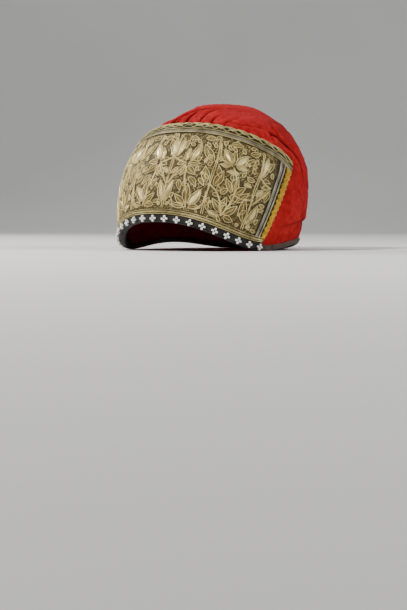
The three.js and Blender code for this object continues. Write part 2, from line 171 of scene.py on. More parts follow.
def panel_angle(share, t):
    """Where the panel lies round the crown. It widens from its foot, where t is 0, to its top, at 1."""
    return share * (PANEL_ANGLE_LOW + (PANEL_ANGLE_TOP - PANEL_ANGLE_LOW) * np.clip(t, 0, 1))


def panel_level(share, t):
    """The section table's level on the panel, from its foot to its top."""
    low = level_at(rim_height(PANEL_ANGLE_LOW * share) + PANEL_FOOT)
    return low + (level_at(panel_top(share)) - low) * t


def panel_point(share, t, distance):
    """A point over the panel's ground: share from -1, its right end, to 1, and t from foot to top."""
    share, t, distance = np.broadcast_arrays(share, t, distance)
    angle = panel_angle(share, t)
    level = panel_level(share, t)
    point = crown_offset(angle, level, distance)
    flat = crown_point(angle, level)[..., 2]
    point[..., 2] = flat + (point[..., 2] - flat) * smooth(t, 0, 0.3)
    return point


def panel_normal(share, t):
    """The way outwards from the panel."""
    return crown_normal(panel_angle(share, t), panel_level(share, t))


def on_panel(x, y, distance):
    """A point over the panel, by millimetres across from the middle of the brow and up from its foot."""
    return panel_point(np.asarray(x) / PANEL_HALF, np.asarray(y) / PANEL_TALL, distance)


RIPPLE_WAVES = 7


def ripple(points, size, seed):
    """A smooth random value from about -1 to 1 that varies over that size, in millimetres."""
    source = np.random.default_rng(seed)
    value = np.zeros(points.shape[:-1])
    for _ in range(RIPPLE_WAVES):
        direction = unit(source.normal(size=3)) * source.uniform(0.7, 1.4) * 2 * np.pi / size
        value = value + np.sin(points @ direction + source.uniform(0, 2 * np.pi))
    return value / math.sqrt(RIPPLE_WAVES)


# Meshes


def make_object(name, points, faces, uvs, material, shades=None):
    """A piece from points in millimetres, four-cornered faces and one UV pair for each face corner.
    A point may also carry a painted shade from 0 to 1, which the material reads as painted_shade."""
    points = (np.asarray(points, float).reshape(-1, 3) - (0, CENTRE_Y, 0)) * 0.001
    faces = np.asarray(faces, int)
    mesh = bpy.data.meshes.new(name)
    mesh.from_pydata(points.tolist(), [], faces.tolist())
    layer = mesh.uv_layers.new(name="UVMap")
    layer.data.foreach_set("uv", np.asarray(uvs, np.float32).ravel())
    mesh.polygons.foreach_set("use_smooth", [True] * len(faces))
    if shades is not None:
        attribute = mesh.attributes.new("painted_shade", "FLOAT", "POINT")
        attribute.data.foreach_set("value", np.asarray(shades, np.float32).ravel())
    work = bmesh.new()
    work.from_mesh(mesh)
    bmesh.ops.remove_doubles(work, verts=work.verts, dist=1e-7)
    bmesh.ops.dissolve_degenerate(work, edges=work.edges, dist=1e-8)
    work.to_mesh(mesh)
    work.free()
    mesh.materials.append(material)
    piece = bpy.data.objects.new(name, mesh)
    bpy.context.scene.collection.objects.link(piece)
    return piece


def grid_faces(columns, rows, wraps, first=0):
    """Corner indices of the quads of a grid of points, and each corner's column and row."""
    steps = columns if wraps else columns - 1
    column, row = np.meshgrid(np.arange(steps), np.arange(rows - 1), indexing="ij")
    corners = [(column, row), (column + 1, row), (column + 1, row + 1), (column, row + 1)]
    faces = np.stack([first + (c % columns) * rows + r for c, r in corners], -1).reshape(-1, 4)
    places = np.stack([np.stack([c, r], -1) for c, r in corners], -2).reshape(-1, 4, 2)
    return faces, places.astype(float)


def lengths(points):
    """Mean lengths of a grid's column and row steps."""
    across = np.linalg.norm(np.diff(points, axis=0), axis=-1).mean()
    down = np.linalg.norm(np.diff(points, axis=1), axis=-1).mean()
    return np.array([across, down])


def make_wall(name, outer, inner, material, wraps=False, close_top=True, shades=None, flat=None):
    """A closed wall between two grids of points, with the same columns but any rows. The outer
    side's UV map is its places in millimetres along the grid, or the flat places given."""
    columns = outer.shape[0]
    count = outer.shape[0] * outer.shape[1]
    out_faces, out_places = grid_faces(columns, outer.shape[1], wraps)
    in_faces, in_places = grid_faces(columns, inner.shape[1], wraps, count)
    faces = [out_faces, in_faces[:, ::-1]]
    uvs = [out_places * lengths(outer), in_places[:, ::-1] * lengths(inner)]
    if flat is not None:
        uvs[0] = flat.reshape(-1, 2)[out_faces]
    out = np.arange(count).reshape(outer.shape[:2])
    back = count + np.arange(inner.shape[0] * inner.shape[1]).reshape(inner.shape[:2])
    rims = [(back[:, 0], out[:, 0])]
    if close_top:
        rims.append((out[:, -1], back[:, -1]))
    for near, far in rims:
        follow = np.roll(np.arange(columns), -1)
        quads = np.stack([near, near[follow], far[follow], far], -1)
        faces.append(quads if wraps else quads[:-1])
        uvs.append(np.zeros((len(faces[-1]), 4, 2)))
    if not wraps:
        rows = min(outer.shape[1], inner.shape[1])
        picks = [np.linspace(0, grid.shape[1] - 1, rows).round().astype(int) for grid in (outer, inner)]
        for column, flip in ((0, False), (columns - 1, True)):
            near = [back[column, k] for k in picks[1]]
            far = [out[column, k] for k in picks[0]]
            quads = [[near[k], far[k], far[k + 1], near[k + 1]] for k in range(rows - 1)]
            faces.append(np.array(quads)[:, ::-1] if flip else np.array(quads))
            uvs.append(np.zeros((len(faces[-1]), 4, 2)))
    points = np.concatenate([outer.reshape(-1, 3), inner.reshape(-1, 3)])
    if shades is not None:
        shades = np.concatenate([shades.ravel(), np.zeros(inner.shape[0] * inner.shape[1])])
    return make_object(name, points, np.concatenate(faces), np.concatenate(uvs), material, shades)


def tube_grids(paths, normals, width, height, sides, twist=0.0, strands=0, depth=0.0):
    """Tubes along one path, or along several with as many points: their points by path, step and
    side, and how far along each step lies. A twisted cord has that many strands, which turn round
    it once in each twist, in millimetres."""
    tangent = unit(np.gradient(paths, axis=-2))
    side = unit(np.cross(tangent, normals))
    lift = np.cross(side, tangent)
    step = np.linalg.norm(np.diff(paths, axis=-2), axis=-1)
    run = np.concatenate([np.zeros(step.shape[:-1] + (1,)), np.cumsum(step, -1)], -1)
    turn = np.linspace(0, 2 * np.pi, sides, endpoint=False)
    grow = np.ones(run.shape + (sides,))
    if strands:
        phase = 2 * np.pi * run[..., None] / twist
        grow = 1 + depth * np.abs(np.cos(0.5 * (strands * turn + phase * strands)))
    x = 0.5 * np.asarray(width)[..., None] * np.cos(turn) * grow
    y = 0.5 * np.asarray(height)[..., None] * np.sin(turn) * grow
    points = paths[..., None, :] + x[..., None] * side[..., None, :] + y[..., None] * lift[..., None, :]
    return points, run


def make_tubes(name, groups, material):
    """One piece from several sets of tubes. Their ends are closed by a narrow last ring."""
    points, faces, uvs = [], [], []
    first = 0
    for grids, run in groups:
        grids = grids.reshape(-1, *grids.shape[-3:])
        run = run.reshape(-1, run.shape[-1])
        for tube, length in zip(grids, run):
            steps, sides = tube.shape[:2]
            tube = tube.copy()
            for end in (0, -1):
                tube[end] = tube[end].mean(0) + 0.05 * (tube[end] - tube[end].mean(0))
            turned = tube.transpose(1, 0, 2)
            quads, places = grid_faces(sides, steps, True, first)
            points.append(turned.reshape(-1, 3))
            faces.append(quads)
            along = length[places[..., 1].astype(int)]
            uvs.append(np.stack([places[..., 0] / sides, along], -1))
            first += steps * sides
    return make_object(name, np.concatenate(points), np.concatenate(faces), np.concatenate(uvs), material)


# Materials

WAVE_SCALE = 2 * math.pi / 20  # the wave texture's scale that gives one band for each unit


class Looks:
    """A Principled material and short ways to add nodes to it."""

    def __init__(self, name, roughness, metallic=0.0, sheen=0.0, specular=0.5):
        self.material = bpy.data.materials.new(name)
        self.material.use_nodes = True
        self.nodes = self.material.node_tree.nodes
        self.shader = self.nodes["Principled BSDF"]
        self.fill(self.shader, {
            "Roughness": roughness,
            "Metallic": metallic,
            "Sheen Weight": sheen,
            "Sheen Roughness": 0.45,
            "Specular IOR Level": specular,
        })
        self.place = self.add("TexCoord", {}, "Object")
        self.uv = self.add("TexCoord", {}, "UV")
        self.normal = None

    def fill(self, node, inputs):
        """Sets a node's inputs, each to a value or to another node's output."""
        for key, value in inputs.items():
            if isinstance(value, bpy.types.NodeSocket):
                self.material.node_tree.links.new(value, node.inputs[key])
            elif value is not None:
                node.inputs[key].default_value = value

    def add(self, kind, inputs, output, **settings):
        """Adds a node with its settings and inputs, and gives one of its outputs."""
        node = self.nodes.new("ShaderNode" + kind)
        for key, value in settings.items():
            setattr(node, key, value)
        self.fill(node, inputs)
        return node.outputs[output]

    def noise(self, size, detail, stretch=None):
        """Noise from 0 to 1 that varies over that size, in millimetres on the piece."""
        source = self.scaled(self.place, stretch) if stretch else self.place
        return self.add("TexNoise", {"Scale": 1000.0 / size, "Detail": detail, "Vector": source}, "Fac")

    def scaled(self, source, stretch, turn=0.0):
        """Texture places scaled along each axis, and turned by that many degrees."""
        inputs = {"Scale": stretch, "Rotation": (0, 0, math.radians(turn)), "Vector": source}
        return self.add("Mapping", inputs, "Vector")

    def threads(self, pitch, direction, turn=0.0, distort=0.0):
        """Parallel threads at that pitch, in the UV map's millimetres."""
        inputs = {
            "Scale": WAVE_SCALE / pitch,
            "Distortion": distort,
            "Detail": 1.0,
            "Detail Scale": 1.5,
            "Vector": self.scaled(self.uv, (1, 1, 1), turn),
        }
        return self.add("TexWave", inputs, "Fac", bands_direction=direction)

    def shaded(self, colour, dark):
        """Paints shade on a colour: turns it to a dark one by the painted shade that the mesh carries at its
        points.
        """
        return self.blend(self.add("Attribute", {}, "Fac", attribute_name="painted_shade"), colour, dark)

    def math(self, operation, a, b):
        """Two values joined by that operation."""
        return self.add("Math", {0: a, 1: b}, 0, operation=operation)

    def ramp(self, source, stops):
        """Colours at their stops, from a value from 0 to 1."""
        colour = self.add("ValToRGB", {"Fac": source}, "Color")
        elements = colour.node.color_ramp.elements
        while len(elements) < len(stops):
            elements.new(0.5)
        for element, (position, shade) in zip(elements, stops):
            element.position = position
            element.color = (*shade, 1)
        return colour

    def blend(self, factor, colour, other, kind="MIX"):
        """A colour blended by a factor with another, which can be plain."""
        other = (*other, 1) if isinstance(other, tuple) else other
        inputs = {"Factor": factor, "A": colour, "B": other}
        return self.add("Mix", inputs, "Result", data_type="RGBA", blend_type=kind)

    def range(self, source, low, high):
        """A value from 0 to 1 spread from low to high."""
        return self.add("MapRange", {"To Min": low, "To Max": high, "Value": source}, "Result")

    def bump(self, height, depth, strength=1.0):
        """Adds relief of that depth in millimetres to the normal."""
        inputs = {"Strength": strength, "Distance": depth * 0.001, "Height": height, "Normal": self.normal}
        self.normal = self.add("Bump", inputs, "Normal")

    def finish(self, colour, roughness=None):
        """Joins the colour, roughness and relief to the shader."""
        self.fill(self.shader, {"Base Color": colour, "Roughness": roughness, "Normal": self.normal})
        return self.material


def red_cotton():
    """Plain-woven red cotton, faded a little in broad patches, with painted shade down in the folds."""
    looks = Looks("red_cotton", 0.85, sheen=0.01, specular=0.05)
    fade = looks.noise(38, 4)
    stops = [(0.3, (0.32, 0.01, 0.012)), (0.55, (0.41, 0.017, 0.018)), (0.8, (0.5, 0.027, 0.026))]
    colour = looks.ramp(fade, stops)
    wear = looks.ramp(looks.noise(5, 4), [(0.35, (0.65, 0.58, 0.58)), (0.65, (1.11, 1.14, 1.14))])
    colour = looks.blend(0.8, colour, wear, "MULTIPLY")
    slubs = looks.noise(1.6, 2, stretch=(1, 1, 5))
    colour = looks.blend(looks.range(slubs, 0.0, 0.35), colour, (0.2, 0.003, 0.007))
    # Painted shade down in the folds and along the tuck and the seam, from the shade that the mesh carries
    colour = looks.shaded(colour, (0.05, 0.001, 0.002))
    weave = looks.math("ADD", looks.threads(0.42, "X"), looks.threads(0.42, "Y"))
    looks.bump(weave, 0.05, 0.7)
    looks.bump(looks.noise(7, 4), 1.6, 0.6)
    return looks.finish(colour, looks.range(fade, 0.82, 0.94))


def metal_thread(name, colours, pitch, turn=0.0, metallic=0.6, roughness=0.38, shaded=False):
    """Old metal thread, laid side by side, dulled and tarnished in places: dark, mid and light."""
    dark, mid, light = colours
    looks = Looks(name, roughness, metallic=metallic, specular=0.5)
    tarnish = looks.noise(9, 4)
    colour = looks.ramp(tarnish, [(0.32, dark), (0.5, mid), (0.72, light)])
    strands = looks.threads(pitch, "Y", turn, distort=0.6)
    # Painted shade: the gaps between the strands are darkened
    painted_shade_colour = tuple(0.25 * c for c in dark)
    colour = looks.blend(looks.range(strands, 0.6, 0.0), colour, painted_shade_colour)
    fleck = looks.noise(0.8, 2)
    colour = looks.blend(looks.range(fleck, 0.0, 0.3), colour, light)
    # Painted shade where the mesh carries it
    if shaded:
        colour = looks.shaded(colour, painted_shade_colour)
    looks.bump(strands, 0.15, 0.9)
    looks.bump(fleck, 0.15, 0.5)
    return looks.finish(colour, looks.range(tarnish, roughness + 0.12, roughness - 0.08))


def laid_ground():
    """The ground between the leaves: laid gold thread tied down in small brick stitches, tarnished."""
    looks = Looks("laid_ground", 0.5, metallic=0.25, specular=0.35)
    tarnish = looks.noise(8, 4)
    stops = [(0.3, (0.09, 0.064, 0.018)), (0.5, (0.18, 0.13, 0.038)), (0.75, (0.35, 0.268, 0.09))]
    colour = looks.ramp(tarnish, stops)
    laid = looks.threads(0.75, "Y", distort=1.5)
    tied = looks.threads(1.3, "X", turn=32, distort=1.8)
    weave = looks.math("MULTIPLY", laid, tied)
    # Painted shade in the gaps between the laid threads and the stitches that tie them
    colour = looks.blend(looks.range(weave, 0.6, 0.0), colour, (0.03, 0.021, 0.007))
    flecks = looks.ramp(looks.noise(1.9, 2), [(0.42, (0.85, 0.85, 0.85)), (0.56, (0.0, 0.0, 0.0))])
    colour = looks.blend(flecks, colour, (0.06, 0.042, 0.014))
    # Painted shade beside the leaf outlines, from the shade that the mesh carries
    colour = looks.shaded(colour, (0.018, 0.012, 0.005))
    looks.bump(weave, 0.4, 0.9)
    looks.bump(looks.noise(1.2, 2), 0.25, 0.5)
    return looks.finish(colour, looks.range(tarnish, 0.62, 0.45))


def silk(name, dark, mid, light, pitch):
    """Silk braid, with its strands at that pitch."""
    looks = Looks(name, 0.55, sheen=0.05, specular=0.3)
    wear = looks.noise(4, 3)
    colour = looks.ramp(wear, [(0.3, dark), (0.55, mid), (0.8, light)])
    strands = looks.threads(pitch, "Y", 20, distort=0.8)
    # Painted shade in the gaps between the strands
    colour = looks.blend(looks.range(strands, 0.7, 0.0), colour, tuple(0.4 * c for c in dark))
    looks.bump(strands, 0.2, 0.9)
    return looks.finish(colour, looks.range(wear, 0.65, 0.48))


def ribbon(name, dark, light, rib, sheen):
    """Worn ribbed ribbon, with its ribs at that pitch."""
    looks = Looks(name, 0.8, sheen=sheen, specular=0.25)
    wear = looks.noise(6, 4)
    colour = looks.ramp(wear, [(0.3, dark), (0.75, light)])
    ribs = looks.threads(rib, "X")
    # Painted shade in the grooves between the ribs
    colour = looks.blend(looks.range(ribs, 0.4, 0.0), colour, tuple(0.5 * c for c in dark))
    looks.bump(ribs, 0.1, 0.7)
    looks.bump(looks.noise(0.5, 2), 0.08, 0.5)
    return looks.finish(colour, looks.range(wear, 0.88, 0.72))


def bead_glass():
    """White glass, a little cloudy."""
    looks = Looks("bead_glass", 0.16, specular=0.6)
    radius = (0.0008, 0.0007, 0.0006)
    looks.fill(looks.shader, {"Subsurface Weight": 0.15, "Subsurface Radius": radius, "Coat Weight": 0.3})
    cloud = looks.noise(1.4, 2)
    colour = looks.ramp(cloud, [(0.3, (0.8, 0.77, 0.7)), (0.7, (0.93, 0.92, 0.88))])
    looks.bump(cloud, 0.1, 0.4)
    return looks.finish(colour, looks.range(cloud, 0.12, 0.26))


def floor_paint():
    """The backdrop's pale grey."""
    looks = Looks("floor_paint", 0.75, specular=0.2)
    cloud = looks.noise(400, 2)
    return looks.finish(looks.ramp(cloud, [(0.2, (0.7, 0.7, 0.705)), (0.8, (0.76, 0.76, 0.765))]))


COTTON = red_cotton()
GROUND = laid_ground()
LEAF_GOLD = ((0.1, 0.067, 0.018), (0.23, 0.16, 0.045), (0.44, 0.325, 0.1))
PLATE_GOLD = ((0.46, 0.335, 0.11), (0.88, 0.69, 0.28), (1.0, 0.88, 0.48))
CORD_GOLD = ((0.45, 0.325, 0.1), (0.86, 0.68, 0.265), (1.0, 0.87, 0.44))
LACE_GOLD = ((0.16, 0.12, 0.035), (0.46, 0.37, 0.13), (0.85, 0.73, 0.36))
# The lace's net ground is near black: painted shade in the gaps between the lace's cords
LACE_NET_SHADE = ((0.01, 0.008, 0.003), (0.024, 0.019, 0.008), (0.07, 0.055, 0.022))
OLD_SILVER = ((0.055, 0.045, 0.026), (0.17, 0.145, 0.092), (0.35, 0.305, 0.205))
PALE_SILVER = ((0.16, 0.14, 0.09), (0.42, 0.38, 0.26), (0.7, 0.65, 0.48))
LEAF = metal_thread("leaf_thread", LEAF_GOLD, 0.6, turn=62, metallic=0.4, roughness=0.45, shaded=True)
PLATE = metal_thread("plate_thread", PLATE_GOLD, 0.7, turn=62, metallic=0.65, roughness=0.3, shaded=True)
CORD = metal_thread("cord_thread", CORD_GOLD, 0.8, turn=40, metallic=0.45)
FILLING = metal_thread("filling_thread", LACE_GOLD, 0.6, turn=40, metallic=0.4)
LACE = metal_thread("lace_thread", LACE_GOLD, 0.6, turn=35, metallic=0.5)
LACE_GROUND = metal_thread("lace_ground_thread", LACE_NET_SHADE, 0.7, turn=25)
SILVER = metal_thread("silver_thread", OLD_SILVER, 1.9, turn=52, metallic=0.1, roughness=0.75)
SIDE_CORD = metal_thread("side_cord_thread", PALE_SILVER, 0.6, metallic=0.3, roughness=0.5)
YELLOW = silk("yellow_silk", (0.34, 0.17, 0.006), (0.7, 0.4, 0.012), (0.88, 0.58, 0.04), 0.9)
DARK = ribbon("dark_ribbon_cloth", (0.008, 0.008, 0.007), (0.035, 0.032, 0.028), 0.5, 0.08)
TAPE = ribbon("binding_cloth", (0.05, 0.03, 0.024), (0.13, 0.085, 0.07), 0.6, 0.08)
GLASS = bead_glass()


def settle(piece, slot, *nodes):
    """Puts a finished piece on the cap's one body."""
    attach(piece, "root")
    if nodes:
        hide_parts(*nodes)


# The crown

CROWN_WALL = 3.4  # the lined cloth's thickness where it puffs, which its folds don't cut through

# Folds of the crown cloth: depth and half width in millimetres, which side puffs up, and the angle
# and height of the points that it runs through
FOLDS = [
    (4.4, 2.4, 1, [(-13, 119), (-16, 126), (-14, 132), (-4, 136.5), (14, 138.5)]),
    (4.2, 2.3, 1, [(-2, 120), (-4, 127), (-3, 132), (9, 136.5), (24, 138.5)]),
    (2.4, 1.8, 1, [(11, 119.5), (12, 128), (18, 134.5), (32, 137.5)]),
    (2.0, 1.8, 1, [(22, 118.5), (24, 125), (33, 131)]),
    (1.8, 1.7, 1, [(33, 117), (38, 121.5), (48, 125)]),
    (3.6, 2.3, -1, [(-42, 114), (-38, 120.5), (-30, 125)]),
    (3.8, 2.3, -1, [(-20, 118.5), (-26, 126.5), (-22, 132.5), (-8, 138)]),
    (1.8, 1.8, -1, [(-31, 117), (-33, 123), (-28, 130)]),
    (1.7, 1.9, -1, [(-53, 110), (-52, 118), (-44, 126)]),
    (1.4, 1.9, -1, [(-64, 103), (-62, 112)]),
    (1.2, 2.2, 1, [(40, 119.5), (50, 118), (67, 116), (79, 111)]),
    (3.5, 2.3, 1, [(74, 110), (79, 107.5), (83, 104), (88, 99), (96, 91.5), (101, 81), (102, 66)]),
    (3.4, 3.6, 1, [(82, 104.5), (90, 96.5), (97, 89), (101, 80), (102, 68)]),
    (1.6, 2.0, 1, [(79, 117), (83, 109), (86, 102)]),
    (1.2, 3.0, 1, [(82, 126), (91, 123.6), (116, 119), (140, 112)]),
    (1.6, 2.2, -1, [(-40, 119.5), (-55, 118), (-72, 114), (-82, 109)]),
    (2.8, 2.4, -1, [(-80, 110), (-90, 102), (-98, 92), (-102, 78)]),
    (1.1, 3.0, -1, [(-84, 126), (-100, 122), (-124, 117)]),
    (0.9, 2.6, 1, [(108, 66), (118, 58), (132, 52)]),
    (0.8, 2.8, -1, [(-108, 70), (-120, 60), (-136, 55)]),
    (0.9, 3.2, 1, [(150, 104), (172, 99), (196, 102)]),
    (0.8, 3.0, 1, [(138, 80), (160, 74), (186, 76), (214, 82)]),
]


def rounded(values):
    """The same run of values with its corners rounded off and its ends kept."""
    reach = 3
    padded = np.pad(values, reach, mode="reflect", reflect_type="odd")
    return np.convolve(padded, np.ones(2 * reach + 1) / (2 * reach + 1), "valid")


def fold_relief(points, normals):
    """How far the folds raise or sink the cloth at each point, and how deep in a fold it lies."""
    deepest = np.zeros(points.shape[:-1])
    puff = np.zeros(points.shape[:-1])
    for depth, half, side, track in FOLDS:
        track = np.array(track, float)
        spots = np.linspace(0, len(track) - 1, 6 * len(track))
        angle = rounded(np.interp(spots, range(len(track)), track[:, 0]))
        height = rounded(np.interp(spots, range(len(track)), track[:, 1]))
        line = crown_point(angle, level_at(height))
        reach = 5 * half
        close = np.all((points > line.min(0) - reach) & (points < line.max(0) + reach), axis=-1)
        spot, normal = points[close], normals[close]
        near = np.full(len(spot), 1e9)
        sign = np.zeros(len(spot))
        where = np.zeros(len(spot))
        for index in range(len(line) - 1):
            run = line[index + 1] - line[index]
            share = np.clip((spot - line[index]) @ run / (run @ run), 0, 1)
            away = spot - line[index] - share[..., None] * run
            distance = np.linalg.norm(away, axis=-1)
            better = distance < near
            near = np.where(better, distance, near)
            which = np.sign(np.einsum("...k,...k", np.cross(run, normal), away))
            sign = np.where(better, which, sign)
            where = np.where(better, (index + share) / (len(line) - 1), where)
        taper = np.sin(np.pi * np.clip(0.2 + 0.75 * where, 0, 1)) ** 0.8
        narrow = np.where(sign * side > 0, 0.6 * half, 1.3 * half)
        sink = depth * taper * np.exp(-(near / narrow) ** 2)
        rise = 0.3 * depth * taper * np.exp(-((near - 1.9 * half) / (1.3 * half)) ** 2)
        deepest[close] = np.maximum(deepest[close], sink)
        puff[close] = np.maximum(puff[close], np.where(sign * side > 0, rise, 0.3 * rise))
    return puff - deepest, deepest


def crown_relief(angle, level, seam, tuck):
    """How far the finished crown cloth stands off the plain surface, and the painted shade in its folds,
    along the tuck and along the seam.
    """
    points = crown_point(angle, level)
    normals = crown_normal(angle, level)
    turned = (angle + 180) % 360 - 180
    away = np.abs(turned)
    above = np.clip((level - seam) / (1 - seam), 0, 1)
    past = np.clip((level - tuck) / (seam - tuck), 0, 1)
    up = (points[..., 2] - PANEL_FOOT) / (PANEL_TOP_END - PANEL_FOOT)
    beyond = away - panel_angle(1, up) - 2
    free = np.maximum(smooth(beyond, 0, 7), (level > seam) * 1.0)
    hang = 2.0 * smooth(beyond, 0, 20) * smooth(past, 0, 0.06) * (1 - smooth(past, 0.1, 1))
    front = 1 - smooth(away, 50, 100)
    puff = 0.9 * smooth(above, 0, 0.1) * (1 - smooth(above, 0.2, 0.6)) * front
    rear = np.exp(-(((turned - 95) / 55) ** 2)) * (1 - smooth(above, 0.75, 0.98))
    sag = -(1.0 + 1.5 * rear) * smooth(above, 0.12, 0.6)
    gathers = np.sin(np.radians(turned) * 52 + 2.6 * ripple(points, 40, 3) + 4 * above)
    gathers = gathers * np.clip(0.5 + 0.6 * ripple(points, 20, 4), 0, 1.4)
    puckers = 0.6 * gathers * smooth(above, 0, 0.03) * (1 - smooth(above, 0.06, 0.26))
    nape = np.sin(np.radians(turned) * 58 + 1.6 * ripple(points, 40, 5))
    nape = nape * (0.8 + 0.4 * ripple(points, 18, 6))
    tucked = 0.5 * nape * (level < tuck) * smooth(beyond, 0, 12)
    drawn = 0.8 * nape * smooth(past, 0, 0.03) * (1 - smooth(past, 0.03, 0.3)) * smooth(beyond, 4, 20)
    broad = 0.45 * ripple(points, 55, 8) + 0.28 * ripple(points, 21, 9) + 0.14 * ripple(points, 10, 10)
    broad = broad + 0.09 * ripple(points, 5.5, 11)
    folds, depth = fold_relief(points, normals)
    loose = puckers + tucked + drawn + broad * smooth(level, 0.03, 0.12) + folds
    rise = np.maximum(hang + puff + free * loose, 0.5 - CROWN_WALL) * smooth(1 - level, 0, 0.02) + sag
    # Painted shade: dark down the fold valleys, and in thin lines along the tuck and along the seam at the
    # panel's top edge
    tuck_shade = 0.5 * np.exp(-((level - tuck) / 0.006) ** 2) * smooth(beyond, 4, 20)
    seam_shade = 0.6 * np.exp(-((level - seam) / 0.008) ** 2) * (away < PANEL_ANGLE_TOP + 2)
    shade = np.clip(0.95 * smooth(depth, 0.4, 2.4) * free + tuck_shade + seam_shade, 0, 0.95)
    return rise, shade


def run_along(points):
    """How far along a path each of its points lies."""
    return np.concatenate([[0], np.cumsum(np.linalg.norm(np.diff(points, axis=0), axis=1))])


def crown_columns(count):
    """Angles round the crown, closer together at the front, where the folds are."""
    spots = np.linspace(-180, 180, 3601)
    density = 1 + 1.4 * (1 - smooth(np.abs(spots), 100, 135))
    run = np.concatenate([[0], np.cumsum(0.5 * (density[1:] + density[:-1]))])
    return np.interp(np.linspace(0, run[-1], count, endpoint=False), run, spots)


def flat_places(angles, points):
    """Where the cloth lay before it was gathered: spread flat round the crown's top."""
    steps = np.linalg.norm(np.diff(points, axis=1), axis=-1)
    run = np.concatenate([np.cumsum(steps[:, ::-1], axis=1)[:, ::-1], np.zeros((len(points), 1))], 1)
    turn = np.radians(angles)
    return np.stack([run * np.sin(turn), run * np.cos(turn)], -1)


def make_crown():
    """The gathered crown cloth with its lining, as one wall."""
    angle = crown_columns(560)[:, None]
    rim = level_at(rim_height(angle) + 1 + CLEARANCE)
    tuck = level_at(rim_height(angle) + TUCK_HEIGHT)
    end = np.minimum(np.abs(angle) / PANEL_ANGLE_TOP, 1 - PANEL_CORNER_SHARE / 4)
    seam = level_at(panel_top(end) + 1.2)
    rows = [
        rim + (tuck - rim) * np.linspace(0, 1, 12)[None],
        tuck + (seam - tuck) * np.concatenate([[0.012, 0.03], np.linspace(0.06, 1, 36)])[None],
        seam + (1 - seam) * (np.linspace(0, 1, 92)[None, 1:] ** 1.2),
    ]
    level = np.concatenate(rows, 1)
    angles = np.broadcast_to(angle, level.shape)
    relief, shades = crown_relief(angles, level, seam, tuck)
    outer = crown_offset(angles, level, relief)
    back = rim + (1 - rim) * np.linspace(0, 1, 20)[None]
    back_angles = np.broadcast_to(angle, back.shape)
    deep = smooth(back, tuck, tuck + 0.08) * (1 - smooth(back, 0.85, 1))
    sunk = CLOTH + (CROWN_WALL - CLOTH) * deep + 1.0 * smooth(back, 0.9, 1)
    inner = crown_offset(back_angles, back, -sunk)
    flat = flat_places(angles, outer)
    piece = make_wall("crown_cloth", outer, inner, COTTON, True, False, shades, flat)
    settle(piece, "crown_cotton", "crown")


# The embroidered panel

STEM_PITCH = 40.5  # across the panel, from one stem to the next
MIDDLE_STEM = 8.0  # the middle stem stands this far to the left ear's side of the brow
FIELD_LOW = 6.0
FIELD_HIGH = 84.5
FIELD_END = 14.5  # the trim's width at each end of the panel
GROUND_FACE = 3.3  # the ground's distance from the crown, so that the leaves end at the CAD's face

# Leaves of the repeat between one stem and the next, charted one by one. Each row has the leaf's foot
# and tip, across from the stem and up from the panel's foot, and its width, in millimetres. The last
# column is 1 for a leaf of smooth, bright metal and 0 for one of dull couched thread.
LEAVES_INNER = [
    (1.4, 12.0, 6.8, 33.5, 6.2, 1),
    (2.0, 58.0, 4.2, 79.5, 5.0, 1),
    (4.0, 56.0, 11.2, 57.0, 3.2, 0),
    (13.0, 54.5, 14.4, 68.0, 4.6, 1),
    (17.0, 55.0, 23.0, 74.5, 6.6, 1),
    (16.0, 52.5, 27.2, 52.8, 4.4, 0),
    (15.4, 50.0, 25.6, 41.0, 5.2, 0),
    (13.4, 49.5, 12.0, 38.0, 4.2, 0),
    (12.6, 51.0, 3.6, 36.0, 4.4, 0),
    (12.0, 53.0, 5.2, 49.5, 3.2, 0),
    (24.0, 12.5, 22.6, 31.0, 6.2, 0),
    (25.4, 12.5, 35.0, 28.5, 6.6, 1),
    (22.6, 11.8, 11.0, 20.5, 4.8, 0),
    (21.8, 10.0, 9.6, 9.6, 4.4, 0),
    (26.6, 10.6, 38.0, 11.6, 4.2, 0),
    (19.4, 38.5, 28.8, 29.5, 4.6, 0),
    (11.2, 35.2, 15.6, 24.0, 4.0, 0),
    (37.6, 57.5, 26.6, 73.5, 6.4, 0),
    (37.2, 36.0, 32.0, 51.5, 6.4, 0),
    (25.6, 79.5, 36.8, 80.5, 4.2, 0),
    (9.4, 78.5, 19.4, 78.8, 4.2, 0),
    (31.4, 60.4, 30.2, 54.4, 2.4, 1),
    (6.6, 66.0, 9.6, 76.8, 4.2, 0),
    (7.6, 47.0, 1.6, 40.0, 3.6, 1),
    (29.4, 38.0, 36.0, 32.0, 3.4, 0),
    (17.6, 28.0, 19.0, 35.0, 2.6, 0),
]
